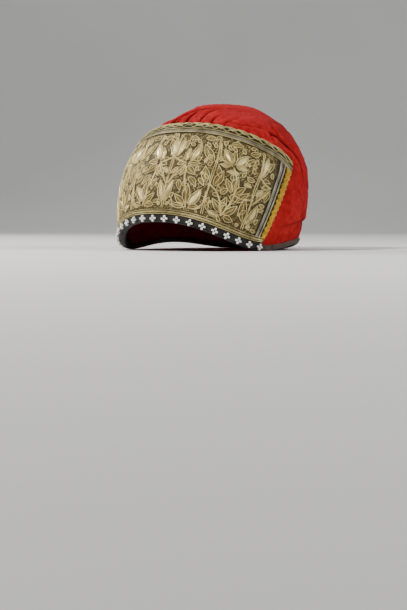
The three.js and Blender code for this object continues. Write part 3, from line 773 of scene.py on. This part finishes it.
LEAVES_OUTER = [
    (4.2, 34.0, 8.6, 51.5, 6.4, 0),
    (32.6, 72.0, 24.8, 62.4, 4.0, 0),
    (27.0, 27.0, 36.2, 39.6, 4.6, 0),
    (8.6, 43.8, 2.8, 54.8, 3.6, 0),
    (15.4, 58.6, 15.2, 73.6, 5.6, 0),
    (13.8, 59.0, 4.6, 72.6, 7.4, 1),
    (16.8, 59.2, 26.4, 72.4, 6.6, 1),
    (13.2, 57.6, 3.8, 56.4, 3.8, 1),
    (17.2, 57.8, 28.4, 58.8, 4.6, 1),
    (22.6, 52.0, 11.4, 51.8, 3.4, 1),
    (30.0, 52.4, 38.0, 52.2, 3.8, 0),
    (22.6, 34.8, 22.6, 50.0, 5.2, 0),
    (21.2, 34.0, 12.6, 45.4, 4.8, 0),
    (24.0, 34.0, 31.4, 43.0, 4.8, 0),
    (11.6, 29.6, 17.2, 36.6, 3.8, 0),
    (17.6, 13.4, 18.4, 29.6, 5.6, 0),
    (16.6, 13.0, 5.8, 24.2, 5.0, 0),
    (18.8, 13.0, 29.4, 24.8, 5.2, 0),
    (15.6, 11.2, 4.0, 12.2, 4.6, 1),
    (19.6, 11.0, 30.2, 9.8, 4.8, 0),
    (39.0, 12.4, 35.0, 34.6, 6.4, 0),
    (10.0, 79.0, 21.0, 79.8, 4.2, 0),
    (27.6, 75.0, 37.4, 80.6, 4.0, 0),
    (29.0, 44.8, 36.6, 45.6, 3.4, 1),
    (4.6, 27.4, 10.2, 27.0, 2.6, 0),
]

# Rings and curls: middle and radius
RINGS_INNER = [(4.6, 10.8, 1.9), (31.0, 44.0, 1.5)]
RINGS_OUTER = [(4.6, 20.0, 1.5), (33.8, 64.6, 2.3), (33.4, 18.4, 1.8), (34.4, 8.8, 1.9), (28.8, 64.0, 1.3)]

# Stalks that tie the leaves together: points across and up, as the leaves have them
STALKS_INNER = [
    [(0.6, 58.0), (7.0, 54.0), (14.0, 52.4)],
    [(0.6, 30.0), (6.0, 38.0), (14.0, 51.0)],
    [(24.0, 9.0), (22.0, 22.0), (17.0, 34.0), (14.6, 49.0)],
    [(26.0, 9.4), (33.0, 9.4), (39.6, 16.0), (39.8, 28.0)],
]
STALKS_OUTER = [
    [(0.8, 35.0), (8.0, 31.0), (14.0, 22.0), (17.6, 11.0)],
    [(17.6, 11.0), (24.0, 28.0), (22.8, 46.0), (15.8, 57.4)],
    [(39.6, 34.6), (31.0, 32.0), (23.2, 33.0)],
    [(0.8, 78.0), (3.0, 62.0), (15.4, 57.6)],
]


def repeats():
    """The order of the repeats from the middle stem outwards, with the stem where each starts."""
    for side in (1, -1):
        for index in range(4):
            yield side, index, index % 2


def laid_out(rows_by_kind):
    """Every chart row of every repeat, with the side of the middle stem where it lies, and its stem."""
    for side, index, kind in repeats():
        for row in rows_by_kind[kind]:
            yield side, index * STEM_PITCH, row


def half_reach(y):
    """How far the embroidered field runs from the middle of the brow, at a height on the panel."""
    return PANEL_HALF - FIELD_END - 2.0 * np.maximum(0, y - 60) / 25


def inside_field(x, y):
    """Whether places on the panel lie in the embroidered field."""
    ends_high = FIELD_HIGH - 1.5 * smooth(np.abs(x), 80, 105)
    return (np.abs(x) < half_reach(y)) & (y > FIELD_LOW - 0.2) & (y < ends_high)


def charted_leaves():
    """The chart's leaves on the panel: foot, tip, width, bend and kind."""
    leaves = []
    for side, start, row in laid_out((LEAVES_INNER, LEAVES_OUTER)):
        foot = (MIDDLE_STEM + side * (start + row[0]), row[1])
        tip = (MIDDLE_STEM + side * (start + row[2]), row[3])
        if inside_field(foot[0], foot[1]) and inside_field(tip[0], tip[1]):
            bend = side * random.uniform(-0.07, 0.1)
            jitter = random.normal(0, 0.25, 4)
            ends = np.array(foot + tip) + jitter
            leaves.append((*ends, row[4] * random.uniform(1.06, 1.18), bend, row[5]))
    return np.array(leaves)


def search_tree(spots):
    """Places on the panel, ordered so that the nearest can be found."""
    tree = KDTree(len(spots))
    for index, (x, y) in enumerate(spots):
        tree.insert((x, y, 0), index)
    tree.balance()
    return tree


def filling_leaves(leaves):
    """Small leaves in the places that the chart leaves bare."""
    taken = search_tree(outline_paths(leaves)[:, ::3].reshape(-1, 2))
    half_long = width = 2.9
    kept = []
    stems = [MIDDLE_STEM + side * index * STEM_PITCH for side, index, _ in repeats()]
    tries = 1400
    tries_x = random.uniform(-102, 102, tries)
    tries_y = random.uniform(FIELD_LOW + 2, FIELD_HIGH - 2, tries)
    for x, y in zip(tries_x, tries_y):
        clear = taken.find((x, y, 0))[2] > 2.7 and min(abs(x - stem) for stem in stems) > 2.6
        alone = all(math.hypot(x - leaf[0], y - leaf[1]) > 5.2 for leaf in kept)
        if clear and alone:
            sway = math.copysign(0.7, x - MIDDLE_STEM) * math.sin(0.2 * y)
            turn = 0.5 * math.pi + sway + random.normal(0, 0.4)
            step_x, step_y = half_long * math.cos(turn), half_long * math.sin(turn)
            if inside_field(x + step_x, y + step_y) and inside_field(x - step_x, y - step_y):
                kept.append((x - step_x, y - step_y, x + step_x, y + step_y, width, 0.08, 0))
    return np.array(kept)


def leaf_frame(leaves, along, across):
    """Places on the panel for shares along and across each leaf, where its edges are at -1 and 1."""
    foot, tip = leaves[:, None, 0:2], leaves[:, None, 2:4]
    run = tip - foot
    length = np.linalg.norm(run, axis=-1, keepdims=True)
    side = np.stack([-run[..., 1], run[..., 0]], -1) / length
    half = 0.5 * leaves[:, None, 4:5] * np.sin(np.pi * along[None, :, None] ** 0.86) ** 1.05
    bow = leaves[:, None, 5:6] * length * np.sin(np.pi * along[None, :, None])
    return foot + run * along[None, :, None] + side * (bow + half * across[None, :, None])


def panel_relief(x, y):
    """How far the padded ground of the embroidery rises and falls."""
    points = np.stack([x, y, 0 * x], -1)
    return 0.1 * ripple(points, 13, 21) + 0.06 * ripple(points, 5, 22)


def outline_paths(leaves):
    """Closed paths just outside the leaves, along which their outlines are couched."""
    along = np.concatenate([np.linspace(0.0, 1.0, 15), np.linspace(1.0, 0.0, 15)[1:]])
    across = np.concatenate([np.full(15, 1.0), np.full(14, -1.0)]) * 1.05
    return leaf_frame(leaves, along, across)


def shade_by_outlines(x, y, leaves):
    """Painted shade on the ground beside the outlines, darkest about half a millimetre from each cord's
    middle line.
    """
    tree = search_tree(outline_paths(leaves).reshape(-1, 2))
    nearest = [tree.find((a, b, 0))[2] for a, b in zip(x.ravel(), y.ravel())]
    away = np.array(nearest).reshape(x.shape)
    return 0.92 * np.exp(-((away - 0.55) / 0.55) ** 2)


def make_panel(leaves):
    """The board with the embroidery's padded ground on its face."""
    share = np.linspace(-1, 1, 560)[:, None]
    t = np.linspace(0, 1, 158)[None]
    x, y = share * PANEL_HALF + 0 * t, t * PANEL_TALL + 0 * share
    edge = smooth(1 - np.abs(share), 0, 0.006) * smooth(t, 0, 0.01) * smooth(1 - t, 0, 0.01)
    outer = panel_point(share, t, GROUND_FACE - 0.5 + 0.5 * edge + panel_relief(x, y) * edge)
    inner = panel_point(share, np.linspace(0, 1, 9)[None], PANEL_BACK)
    # Painted shade: dark beside the outlines and under the trims outside the field, and lighter again at the
    # board's very edges
    shades = shade_by_outlines(x, y, leaves) * inside_field(x, y)
    trimmed = (y < FIELD_LOW - 0.4) | (y > FIELD_HIGH) | (np.abs(x) > half_reach(y))
    shades = np.where(trimmed, 0.85, shades) * (0.2 + 0.8 * edge)
    piece = make_wall("panel_board", outer, inner, GROUND, shades=shades)
    settle(piece, "gold_embroidery", "front_panel")


def make_leaves(name, leaves, rise, material):
    """Leaves as low domes with a sunk middle vein, inside their cord outlines."""
    along = np.linspace(0.0, 1.0, 13)
    across = np.linspace(-1, 1, 7)
    u, v = np.meshgrid(along, across, indexing="ij")
    u, v = u.ravel(), v.ravel()
    places = leaf_frame(leaves, u, 0.84 * v)
    dome = np.sqrt(np.clip(1 - v ** 2, 0, 1)) * np.sin(np.pi * u) ** 0.55
    vein = 1 - 0.35 * np.exp(-(v / 0.22) ** 2)
    tall = rise * (0.5 + 0.1 * leaves[:, 4:5])
    lift = GROUND_FACE - 0.35 + 0.35 * dome + tall * dome * vein
    points = on_panel(places[..., 0], places[..., 1], lift)
    faces, spots = grid_faces(len(along), len(across), False)
    count = len(along) * len(across)
    all_faces = np.concatenate([faces + index * count for index in range(len(leaves))])
    size = np.linalg.norm(leaves[:, 2:4] - leaves[:, 0:2], axis=-1)
    uvs = []
    for length, width in zip(size, leaves[:, 4]):
        mirrored = np.abs(spots[..., 1] / (len(across) - 1) - 0.5) * width
        uvs.append(np.stack([mirrored, spots[..., 0] / (len(along) - 1) * length], -1))
    # Painted shade at each leaf's edges and ends, next to its outline cord
    rim = np.maximum(np.abs(v), np.abs(2 * u - 1) ** 3)
    shades = np.broadcast_to(0.85 * smooth(rim, 0.6, 1), lift.shape)
    uvs = np.concatenate(uvs)[:, ::-1]
    piece = make_object(name, points, all_faces[:, ::-1], uvs, material, shades)
    settle(piece, "gold_embroidery")


def laid_cords(paths, width, lift, sides=6):
    """A cord that lies on the panel along a path of places, or several along as many paths."""
    points = on_panel(paths[..., 0], paths[..., 1], lift)
    normals = panel_normal(paths[..., 0] / PANEL_HALF, paths[..., 1] / PANEL_TALL)
    size = np.full(points.shape[:-1], width)
    return tube_grids(points, normals, size, size, sides, twist=2.4, strands=2, depth=0.22)


def resampled(path, step):
    """A smooth path that follows a few places, with points about that step apart."""
    path = np.array(path, float)
    knots = np.linspace(0, 1, len(path))
    spots = np.linspace(0, 1, 121)
    bends = np.stack([np.interp(spots, knots, path[:, k]) for k in (0, 1)], -1)
    kernel = np.hanning(33)[1:-1]
    kernel /= kernel.sum()
    pad = len(kernel) // 2
    before = 2 * bends[:1] - bends[pad:0:-1]
    after = 2 * bends[-1:] - bends[-2:-pad - 2:-1]
    padded = np.concatenate([before, bends, after])
    soft = np.stack([np.convolve(padded[:, k], kernel, "valid") for k in (0, 1)], -1)
    run = run_along(soft)
    even = np.linspace(0, run[-1], max(6, round(run[-1] / step)))
    return np.stack([np.interp(even, run, soft[:, k]) for k in (0, 1)], -1)


def ring_cords():
    """Rings and curls: a cord that winds inwards for each."""
    for side, start, (across, y, radius) in laid_out((RINGS_INNER, RINGS_OUTER)):
        x = MIDDLE_STEM + side * (start + across)
        if inside_field(x, y):
            turn = np.linspace(0, 4.4 * np.pi, 40)
            spiral = radius * np.linspace(1.0, 0.3, 40)
            path = np.stack([x + side * spiral * np.cos(turn), y + spiral * np.sin(turn)], -1)
            yield laid_cords(path, 0.62, GROUND_FACE + 0.2)


def stalk_cords():
    """Stalks: two cords side by side for each, as far as they lie in the field."""
    for side, start, row in laid_out((STALKS_INNER, STALKS_OUTER)):
        path = resampled([(MIDDLE_STEM + side * (start + x), y) for x, y in row], 0.75)
        path = path[inside_field(path[:, 0], path[:, 1])]
        if len(path) > 6:
            for shift in (-0.36, 0.36):
                side_step = unit(np.gradient(path, axis=0))[:, ::-1] * (1, -1) * shift
                yield laid_cords(path + side_step, 0.6, GROUND_FACE + 0.22)


def stem_cords():
    """Stems: two swaying cords for each, tied across in four places."""
    for side, index, _ in repeats():
        x = MIDDLE_STEM + side * index * STEM_PITCH
        if abs(x) < PANEL_HALF - 16 and (index or side > 0):
            for shift in (-0.62, 0.62):
                y = np.arange(FIELD_LOW + 1, FIELD_HIGH - 1, 0.75)
                sway = 0.25 * np.sin(0.21 * y + index)
                path = np.stack([x + shift * (1 + 0.5 * np.sin(0.16 * y)) + sway, y], -1)
                yield laid_cords(path, 0.64, GROUND_FACE + 0.45)
            for tie in (34.0, 35.2, 57.4, 58.6):
                path = np.stack([np.linspace(x - 1.7, x + 1.7, 9), np.full(9, tie)], -1)
                yield laid_cords(path, 0.6, GROUND_FACE + 0.75)


def make_outlines(leaves):
    """Couched cords round each leaf and down the veins of the large ones, and the stems and stalks."""
    veined = leaves[(leaves[:, 4] > 4.3) & (leaves[:, 6] == 0)]
    vein = np.linspace(0.06, 0.8, 9)
    groups = [
        laid_cords(outline_paths(leaves), 0.64, GROUND_FACE + 0.5),
        laid_cords(leaf_frame(veined, vein, 0 * vein), 0.36, GROUND_FACE + 0.78),
        *ring_cords(),
        *stalk_cords(),
        *stem_cords(),
    ]
    settle(make_tubes("embroidery_cords", groups, CORD), "gold_cord")


def make_filling():
    """Short couched stitches that fill the ground between the leaves."""
    count = 2600
    x = random.uniform(-104, 104, count)
    y = random.uniform(FIELD_LOW, FIELD_HIGH, count)
    keep = inside_field(x, y)
    x, y = x[keep], y[keep]
    turn = np.where(np.sin(0.16 * x) * np.cos(0.2 * y) > 0, 0.9, -0.7) + random.normal(0, 0.35, len(x))
    reach = random.uniform(0.8, 1.8, len(x))
    step = np.linspace(-1, 1, 6)
    bow = 0.25 * (1 - step ** 2)
    along, across = np.cos(turn)[:, None], np.sin(turn)[:, None]
    path_x = x[:, None] + reach[:, None] * step * along - bow * across
    path_y = y[:, None] + reach[:, None] * step * across + bow * along
    path_y = np.clip(path_y, FIELD_LOW - 0.4, FIELD_HIGH + 0.4)
    cords = laid_cords(np.stack([path_x, path_y], -1), 0.46, GROUND_FACE + 0.08, sides=5)
    settle(make_tubes("embroidery_filling", [cords], FILLING), "gold_embroidery")


# The trim


SCALLOP = 12.0  # the lace's scallops, from point to point
SCALLOP_DEPTH = 1.3
STRIP_FOOT = PANEL_FACE - 0.1  # the woven strips' underside, just inside the board
TRIM_LOW = 5.0  # the end trim's ends, up from the panel's foot
TRIM_HIGH = 84.6
LOOP_PITCH = 6.0


def tall_at(x):
    """The panel's height along its surface, at a place across it."""
    return PANEL_TALL - PANEL_END_LOSS * (np.abs(x) / PANEL_HALF) ** 3


def below_top(x, distance):
    """Places at a distance below the panel's top edge, measured on its surface."""
    return PANEL_TALL * (1 - distance / tall_at(x))


def scallops(x):
    """How far the lace's edge dips between its scallops."""
    return SCALLOP_DEPTH * (1 - np.abs(np.sin(np.pi * x / SCALLOP)) ** 0.7)


def places_across(inset, step):
    """Places across the panel from end to end, that far in from its ends."""
    reach = PANEL_HALF - inset
    return np.arange(-reach, reach + step / 2, step)


def make_gimp():
    """Couched gold cords along the panel's foot."""
    x = places_across(1.2, 0.6)
    groups = []
    for distance, width in ((0.9, 0.8), (2.5, 0.85), (3.4, 0.7), (5.0, 0.7)):
        y = PANEL_TALL * distance / tall_at(x) + 0.1 * np.sin(0.9 * x + distance)
        groups.append(laid_cords(np.stack([x, y], -1), width, GROUND_FACE + 0.42, sides=8))
    settle(make_tubes("gimp_cords", groups, LACE), "gold_cord", "lower_gimp")


def make_strip(name, low, high, relief, dip, material):
    """A woven strip between two distances below the panel's top edge. Its upper edge follows the
    scallops where dip is 1."""
    x = np.linspace(-1, 1, len(relief)) * (PANEL_HALF - 0.8)
    first = np.stack([x, below_top(x, low)], -1)
    last = np.stack([x, below_top(x, high) - dip * scallops(x)], -1)
    across = np.linspace(0, 1, relief.shape[1])
    places = first[:, None] + (last - first)[:, None] * across[:, None]
    outer = on_panel(places[..., 0], places[..., 1], STRIP_FOOT + relief)
    ends = places[:, [0, -1]]
    inner = on_panel(ends[..., 0], ends[..., 1], STRIP_FOOT - 0.25)
    return make_wall(name, outer, inner, material)


def make_top_trim():
    """Along the top edge, a ribbed galloon between two cords, and above it lace of plaited cords."""
    along = np.linspace(0, 1, 460)[:, None]
    across = np.linspace(0, 1, 17)
    ribs = 0.42 + 0.12 * np.sin(across * 8 * np.pi) + 0.05 * np.sin(along * 900)
    band = make_strip("top_galloon", 10.4, 8.0, ribs, 0, SILVER)
    settle(band, "metal_galloon", "top_band")
    across = np.linspace(0, 1, 9)
    net = 0.2 + 0.1 * np.sin(across * 10 * np.pi) + 0.05 * np.sin(along * 1100)
    lace = make_strip("lace_ground", 6.4, 0.5, net, 1, LACE_GROUND)
    settle(lace, "metal_lace", "scallop_lace")
    wide, fine = places_across(1.4, 0.6), places_across(1.4, 0.5)
    cords = [  # places across, distance below the top edge, wave and its phase, width and lift
        (wide, 7.1, 0.0, 0.0, 0.7, 0.6),
        (wide, 11.4, 0.0, 0.0, 0.8, 0.6),
        (fine, 1.85, 1.1, 0.0, 0.8, 0.75),
        (fine, 2.85, 1.1, 0.0, 1.0, 0.75),
        (fine, 4.4, 1.6, 0.5, 0.8, 1.1),
    ]
    groups = []
    for x, distance, wave, phase, width, lift in cords:
        y = below_top(x, distance) + wave * np.sin(2 * np.pi * (x / SCALLOP + phase))
        groups.append(laid_cords(np.stack([x, y], -1), width, PANEL_FACE + lift, sides=8))
    edge = np.stack([fine, below_top(fine, 0.7) - scallops(fine)], -1)
    groups.append(laid_cords(edge, 0.9, PANEL_FACE + 0.6, sides=8))
    settle(make_tubes("lace_cords", groups, LACE), "metal_lace")


def make_end_trim(side, hand):
    """Twisted cords down one end of the panel, and outside them braid of four looped strands."""
    y = np.arange(TRIM_LOW, TRIM_HIGH, 0.55)
    groups = []
    for distance, width in ((8.6, 1.3), (10.9, 0.7), (12.4, 1.3)):
        path = np.stack([np.full(len(y), side * (PANEL_HALF - distance)), y], -1)
        groups.append(laid_cords(path, width, PANEL_FACE + 0.35, sides=9))
    cords = make_tubes(f"side_cords_{hand}", groups, SIDE_CORD)
    settle(cords, "metal_galloon", f"side_galloon_{hand}")
    y = np.arange(TRIM_LOW, TRIM_HIGH, 0.45)
    width, height = np.full(len(y), 1.4), np.full(len(y), 1.0)
    groups = []
    for phase, centre in ((0.0, 3.0), (0.5, 4.4), (0.25, 3.7), (0.75, 3.7)):
        turn = 2 * np.pi * (y / LOOP_PITCH + phase)
        x = side * (PANEL_HALF - centre - 1.9 * np.sin(turn))
        points = on_panel(x, y, PANEL_FACE + 0.5 + 0.3 * np.cos(2 * turn))
        normals = panel_normal(x / PANEL_HALF, y / PANEL_TALL)
        groups.append(tube_grids(points, normals, width, height, 8, twist=3.0, strands=3, depth=0.2))
    braid = make_tubes(f"braid_loops_{hand}", groups, YELLOW)
    settle(braid, "silk_braid", f"side_braid_{hand}")


# The lower edge


FOLD_HEIGHT = 1.4  # how far above the rim the fold under it starts
RIBBON_THICK = 0.9
STITCH_PITCH = 1.7  # degrees round the cap


def folded_strip(name, angles, face, outside, inside, material, puff=0.0):
    """A ribbon folded round the lower edge, as a closed wall, up to one height outside and one inside."""
    angles = angles[:, None]
    rim = rim_height(angles)
    back = -CLOTH - CLEARANCE - 1
    turn = np.linspace(0, 1, 9)
    shares = np.concatenate([turn[:-1], 1 + turn, 2 + np.linspace(0, 1, 7)[1:]])
    under = np.sin(np.pi * np.clip(shares - 1, 0, 1)) ** 0.5

    def skin(depth):
        """The ribbon's surface at a depth below its outer one: up the face, round the fold, up inside."""
        out = np.interp(shares, [1, 2], [face - depth, back + depth]) + 0 * rim
        heights = np.interp(shares, [0, 1, 2, 3], [outside, FOLD_HEIGHT, FOLD_HEIGHT, inside])
        height = rim + heights - (FOLD_HEIGHT - depth) * under
        rough = ripple(np.stack([angles * 1.3 + 0 * height, height, 0 * height], -1), 7, 31)
        bow = puff * np.sin(np.pi * np.clip(shares, 0, 1)) + 0.06 * rough
        points = crown_offset(angles + 0 * height, level_at(height), out + bow * (out > 0))
        points[..., 2] = np.maximum(height, 0.0)
        return points

    return make_wall(name, skin(0.0), skin(RIBBON_THICK), material)


def make_edges():
    """The dark ribbon below the panel, and the tape round the back with its stitches."""
    angles = np.linspace(-PANEL_ANGLE_LOW, PANEL_ANGLE_LOW, 200)
    band = folded_strip("band_ribbon", angles, PANEL_FACE, BAND_HEIGHT, BAND_INSIDE, DARK)
    settle(band, "dark_ribbon", "bead_band")
    gap = math.degrees(CLEARANCE / (CAP_WIDTH / 2))
    start, end = PANEL_ANGLE_LOW + gap, 360 - PANEL_ANGLE_LOW - gap
    angles = np.linspace(start, end, 260)
    face = CLEARANCE + 1
    tape = folded_strip("back_binding_tape", angles, face, BINDING_HEIGHT, BINDING_HEIGHT, TAPE, 0.15)
    settle(tape, "binding_tape", "back_binding")
    groups = []
    along = np.linspace(0, 1, 6)
    for angle in np.arange(start + 1, end - 1, STITCH_PITCH):
        level = level_at(rim_height(angle) + BINDING_HEIGHT - 1.3 + 0.25 * along)
        wide = angle + 0.9 * along
        points = crown_offset(wide, level, face + 0.12 + 0.12 * np.sin(np.pi * along))
        size = np.full(len(along), 0.32)
        groups.append(tube_grids(points, crown_normal(wide, level), size, size, 5))
    settle(make_tubes("binding_stitches", groups, TAPE), "binding_tape")


def band_middle(angle):
    """Places on the dark ribbon's face, half way up it."""
    height = rim_height(angle) + BAND_HEIGHT / 2
    point = crown_offset(angle, level_at(height), PANEL_FACE)
    point[..., 2] = height
    return point


def cross_angles():
    """Where the bead crosses are: evenly spaced along the band, from its middle to near its ends."""
    spots = np.linspace(0, PANEL_ANGLE_LOW, 401)
    run = run_along(band_middle(spots))
    per_side = (CROSS_COUNT - 1) // 2
    pitch = (run[-1] - CROSS_END_GAP) / per_side
    half = np.interp(pitch * np.arange(1, per_side + 1), run, spots)
    return np.concatenate([-half[::-1], [0], half])


BEAD_SIDES = 18
BEAD_LENGTH = 1.9
BEAD_HOLE = 0.42
BEAD_LIFT = 1.45  # from the band to the thread that runs round the cross, through the beads


def bead_profile(radius):
    """A bead's section, from its hole round its outside and back: radii, and places along the hole."""
    turn = np.linspace(-0.5 * np.pi, 1.5 * np.pi, 17)[:-1]
    middle = 0.5 * (radius + BEAD_HOLE)
    return middle + 0.5 * (radius - BEAD_HOLE) * np.sin(turn + 0.5 * np.pi), 0.5 * BEAD_LENGTH * np.sin(turn)


def bead_faces(sides, rows, first):
    """Faces of one bead, a ring of points joined to a ring inside its hole."""
    quads, places = grid_faces(sides, rows, True, first)
    column = np.arange(sides)
    follow = (column + 1) % sides
    join = [column * rows + rows - 1, follow * rows + rows - 1, follow * rows, column * rows]
    faces = np.concatenate([quads, first + np.stack(join, -1)])
    return faces, np.concatenate([places * 0.3, np.zeros((sides, 4, 2))])


def make_crosses():
    """White glass beads sewn on in crosses, on a thread that runs round through all four."""
    reach = BAND_HEIGHT / 2 - 0.2
    bead_radius = (reach + 0.1 / math.sqrt(2)) / (1 + math.sqrt(2))
    centre = reach - bead_radius
    turn = np.linspace(0, 2 * np.pi, BEAD_SIDES, endpoint=False)[:, None]
    ring = np.linspace(0, 2 * np.pi, 25)[:, None]
    size = np.full(len(ring), 0.3)
    threads = []
    for number, angle in enumerate(cross_angles(), 1):
        middle = band_middle(np.array(angle))
        normal = crown_normal(np.array(angle), level_at(middle[2]))
        along = band_middle(np.array(angle + 0.1)) - band_middle(np.array(angle - 0.1))
        along = unit(along - normal * (along @ normal))
        upright = np.cross(normal, along)
        twist = random.normal(0, 0.1)
        points, faces, uvs = [], [], []
        for bead in range(4):
            way = twist + bead * np.pi / 2 + random.normal(0, 0.05)
            outward = math.cos(way) * along + math.sin(way) * upright
            round_way = math.cos(way) * upright - math.sin(way) * along
            spot = middle + centre * random.uniform(0.98, 1.04) * outward + BEAD_LIFT * normal
            radii, places = bead_profile((bead_radius - 0.03) * random.uniform(0.94, 1.0))
            spread = (radii * np.cos(turn))[..., None] * outward + (radii * np.sin(turn))[..., None] * normal
            grid = spot + spread + places[:, None] * round_way
            bead_quads, bead_uvs = bead_faces(*grid.shape[:2], bead * turn.size * radii.size)
            points.append(grid.reshape(-1, 3))
            faces.append(bead_quads[:, ::-1])
            uvs.append(bead_uvs[:, ::-1])
        name = f"beads_{number:02d}"
        piece = make_object(name, np.concatenate(points), np.concatenate(faces), np.concatenate(uvs), GLASS)
        settle(piece, "white_bead", f"bead_cross_{number:02d}")
        path = middle + centre * (np.cos(ring) * along + np.sin(ring) * upright) + BEAD_LIFT * normal
        threads.append(tube_grids(path, np.broadcast_to(normal, path.shape), size, size, 5))
    settle(make_tubes("bead_threads", threads, DARK), "dark_ribbon")


# The stage, the light and the camera


VIEW_AZIMUTH = 33.3
VIEW_ELEVATION = 1.2
VIEW_DISTANCE = 1.5
PIXEL_FOCAL = 1531.5
IMAGE = (407, 610)
ORIGIN_PIXEL = (212.0, 249.5)  # where the cap's origin stands in the photograph's frame
SENSOR = 36.0
LIGHTS = [  # name, azimuth, elevation, distance, size, power and colour
    ("key", -28, 42, 1.5, 0.2, 30, (1.0, 0.97, 0.92)),
    ("glint", -98, 30, 1.5, 0.14, 13, (1.0, 0.97, 0.92)),
    ("fill", 94, 26, 1.8, 0.6, 22, (1.0, 0.99, 0.98)),
    ("top", 20, 76, 1.7, 0.7, 2, (1.0, 1.0, 1.0)),
    ("behind", 200, 40, 1.8, 0.8, 3, (1.0, 1.0, 1.0)),
]


def direction(azimuth, elevation):
    """The way from the cap towards a camera or a light, from degrees round it and above it."""
    a, e = math.radians(azimuth), math.radians(elevation)
    return Vector((math.sin(a) * math.cos(e), -math.cos(a) * math.cos(e), math.sin(e)))


def placed(name, data):
    """A camera or a light in the scene."""
    holder = bpy.data.objects.new(name, data)
    bpy.context.scene.collection.objects.link(holder)
    return holder


def make_stage():
    """A plain pale floor that curves up into the backdrop."""
    bend, bend_start = 0.9, 1.6
    arc = np.linspace(0, np.pi / 2, 16)[1:]
    run = np.concatenate([np.linspace(-3.0, bend_start, 24), bend_start + bend * np.sin(arc), [2.5]])
    rise = np.concatenate([np.zeros(24), bend * (1 - np.cos(arc)), [4.0]])
    turn = math.radians(VIEW_AZIMUTH)
    across = np.linspace(-5, 5, 9)
    forward = np.array([-math.sin(turn), math.cos(turn)])
    right = np.array([math.cos(turn), math.sin(turn)])
    flat = run[None, :, None] * forward + across[:, None, None] * right
    points = np.concatenate([flat, np.broadcast_to(rise[:, None], flat.shape[:2] + (1,))], -1)
    points = 1000 * points.reshape(-1, 3) + (0, CENTRE_Y, 0)
    faces, places = grid_faces(len(across), len(run), False)
    make_object("floor", points, faces, places, floor_paint())


def make_camera():
    """The camera, which looks a little past the cap so that it stands where it does in the photograph."""
    camera = bpy.data.cameras.new("camera")
    camera.sensor_fit = "AUTO"
    camera.sensor_width = SENSOR
    camera.lens = PIXEL_FOCAL / IMAGE[1] * SENSOR
    camera.clip_start = 0.01
    holder = placed("camera", camera)
    azimuth = math.radians(VIEW_AZIMUTH)
    back = direction(VIEW_AZIMUTH, VIEW_ELEVATION)
    right = Vector((math.cos(azimuth), math.sin(azimuth), 0))
    up = back.cross(right)
    aside = (IMAGE[0] / 2 - ORIGIN_PIXEL[0]) / PIXEL_FOCAL * VIEW_DISTANCE
    down = (ORIGIN_PIXEL[1] - IMAGE[1] / 2) / PIXEL_FOCAL * VIEW_DISTANCE
    holder.location = back * VIEW_DISTANCE
    target = right * aside + up * down
    holder.rotation_euler = (holder.location - target).to_track_quat("Z", "Y").to_euler()
    bpy.context.scene.camera = holder


def make_lights():
    """Round soft lamps aimed at the middle of the cap, and a dim sky."""
    for name, azimuth, elevation, distance, size, power, colour in LIGHTS:
        lamp = bpy.data.lights.new(name, "AREA")
        lamp.shape = "DISK"
        lamp.size = size
        lamp.energy = power
        lamp.color = colour
        holder = placed(name, lamp)
        way = direction(azimuth, elevation)
        holder.location = Vector((0, 0, 0.07)) + way * distance
        holder.rotation_euler = way.to_track_quat("Z", "Y").to_euler()
    world = bpy.data.worlds.new("studio")
    world.use_nodes = True
    background = world.node_tree.nodes["Background"]
    background.inputs["Color"].default_value = (0.75, 0.77, 0.8, 1)
    background.inputs["Strength"].default_value = 0.16
    bpy.context.scene.world = world


LEAVES = charted_leaves()
LEAVES = np.concatenate([LEAVES, filling_leaves(LEAVES)])
make_panel(LEAVES)
make_leaves("embroidery_leaves", LEAVES[LEAVES[:, 6] == 0], 0.6, LEAF)
make_leaves("embroidery_plates", LEAVES[LEAVES[:, 6] == 1], 0.9, PLATE)
make_outlines(LEAVES)
make_filling()
make_gimp()
make_top_trim()
for trim_side, trim_hand in ((1, "left"), (-1, "right")):
    make_end_trim(trim_side, trim_hand)
make_crown()
make_edges()
make_crosses()
make_stage()
make_camera()
make_lights()
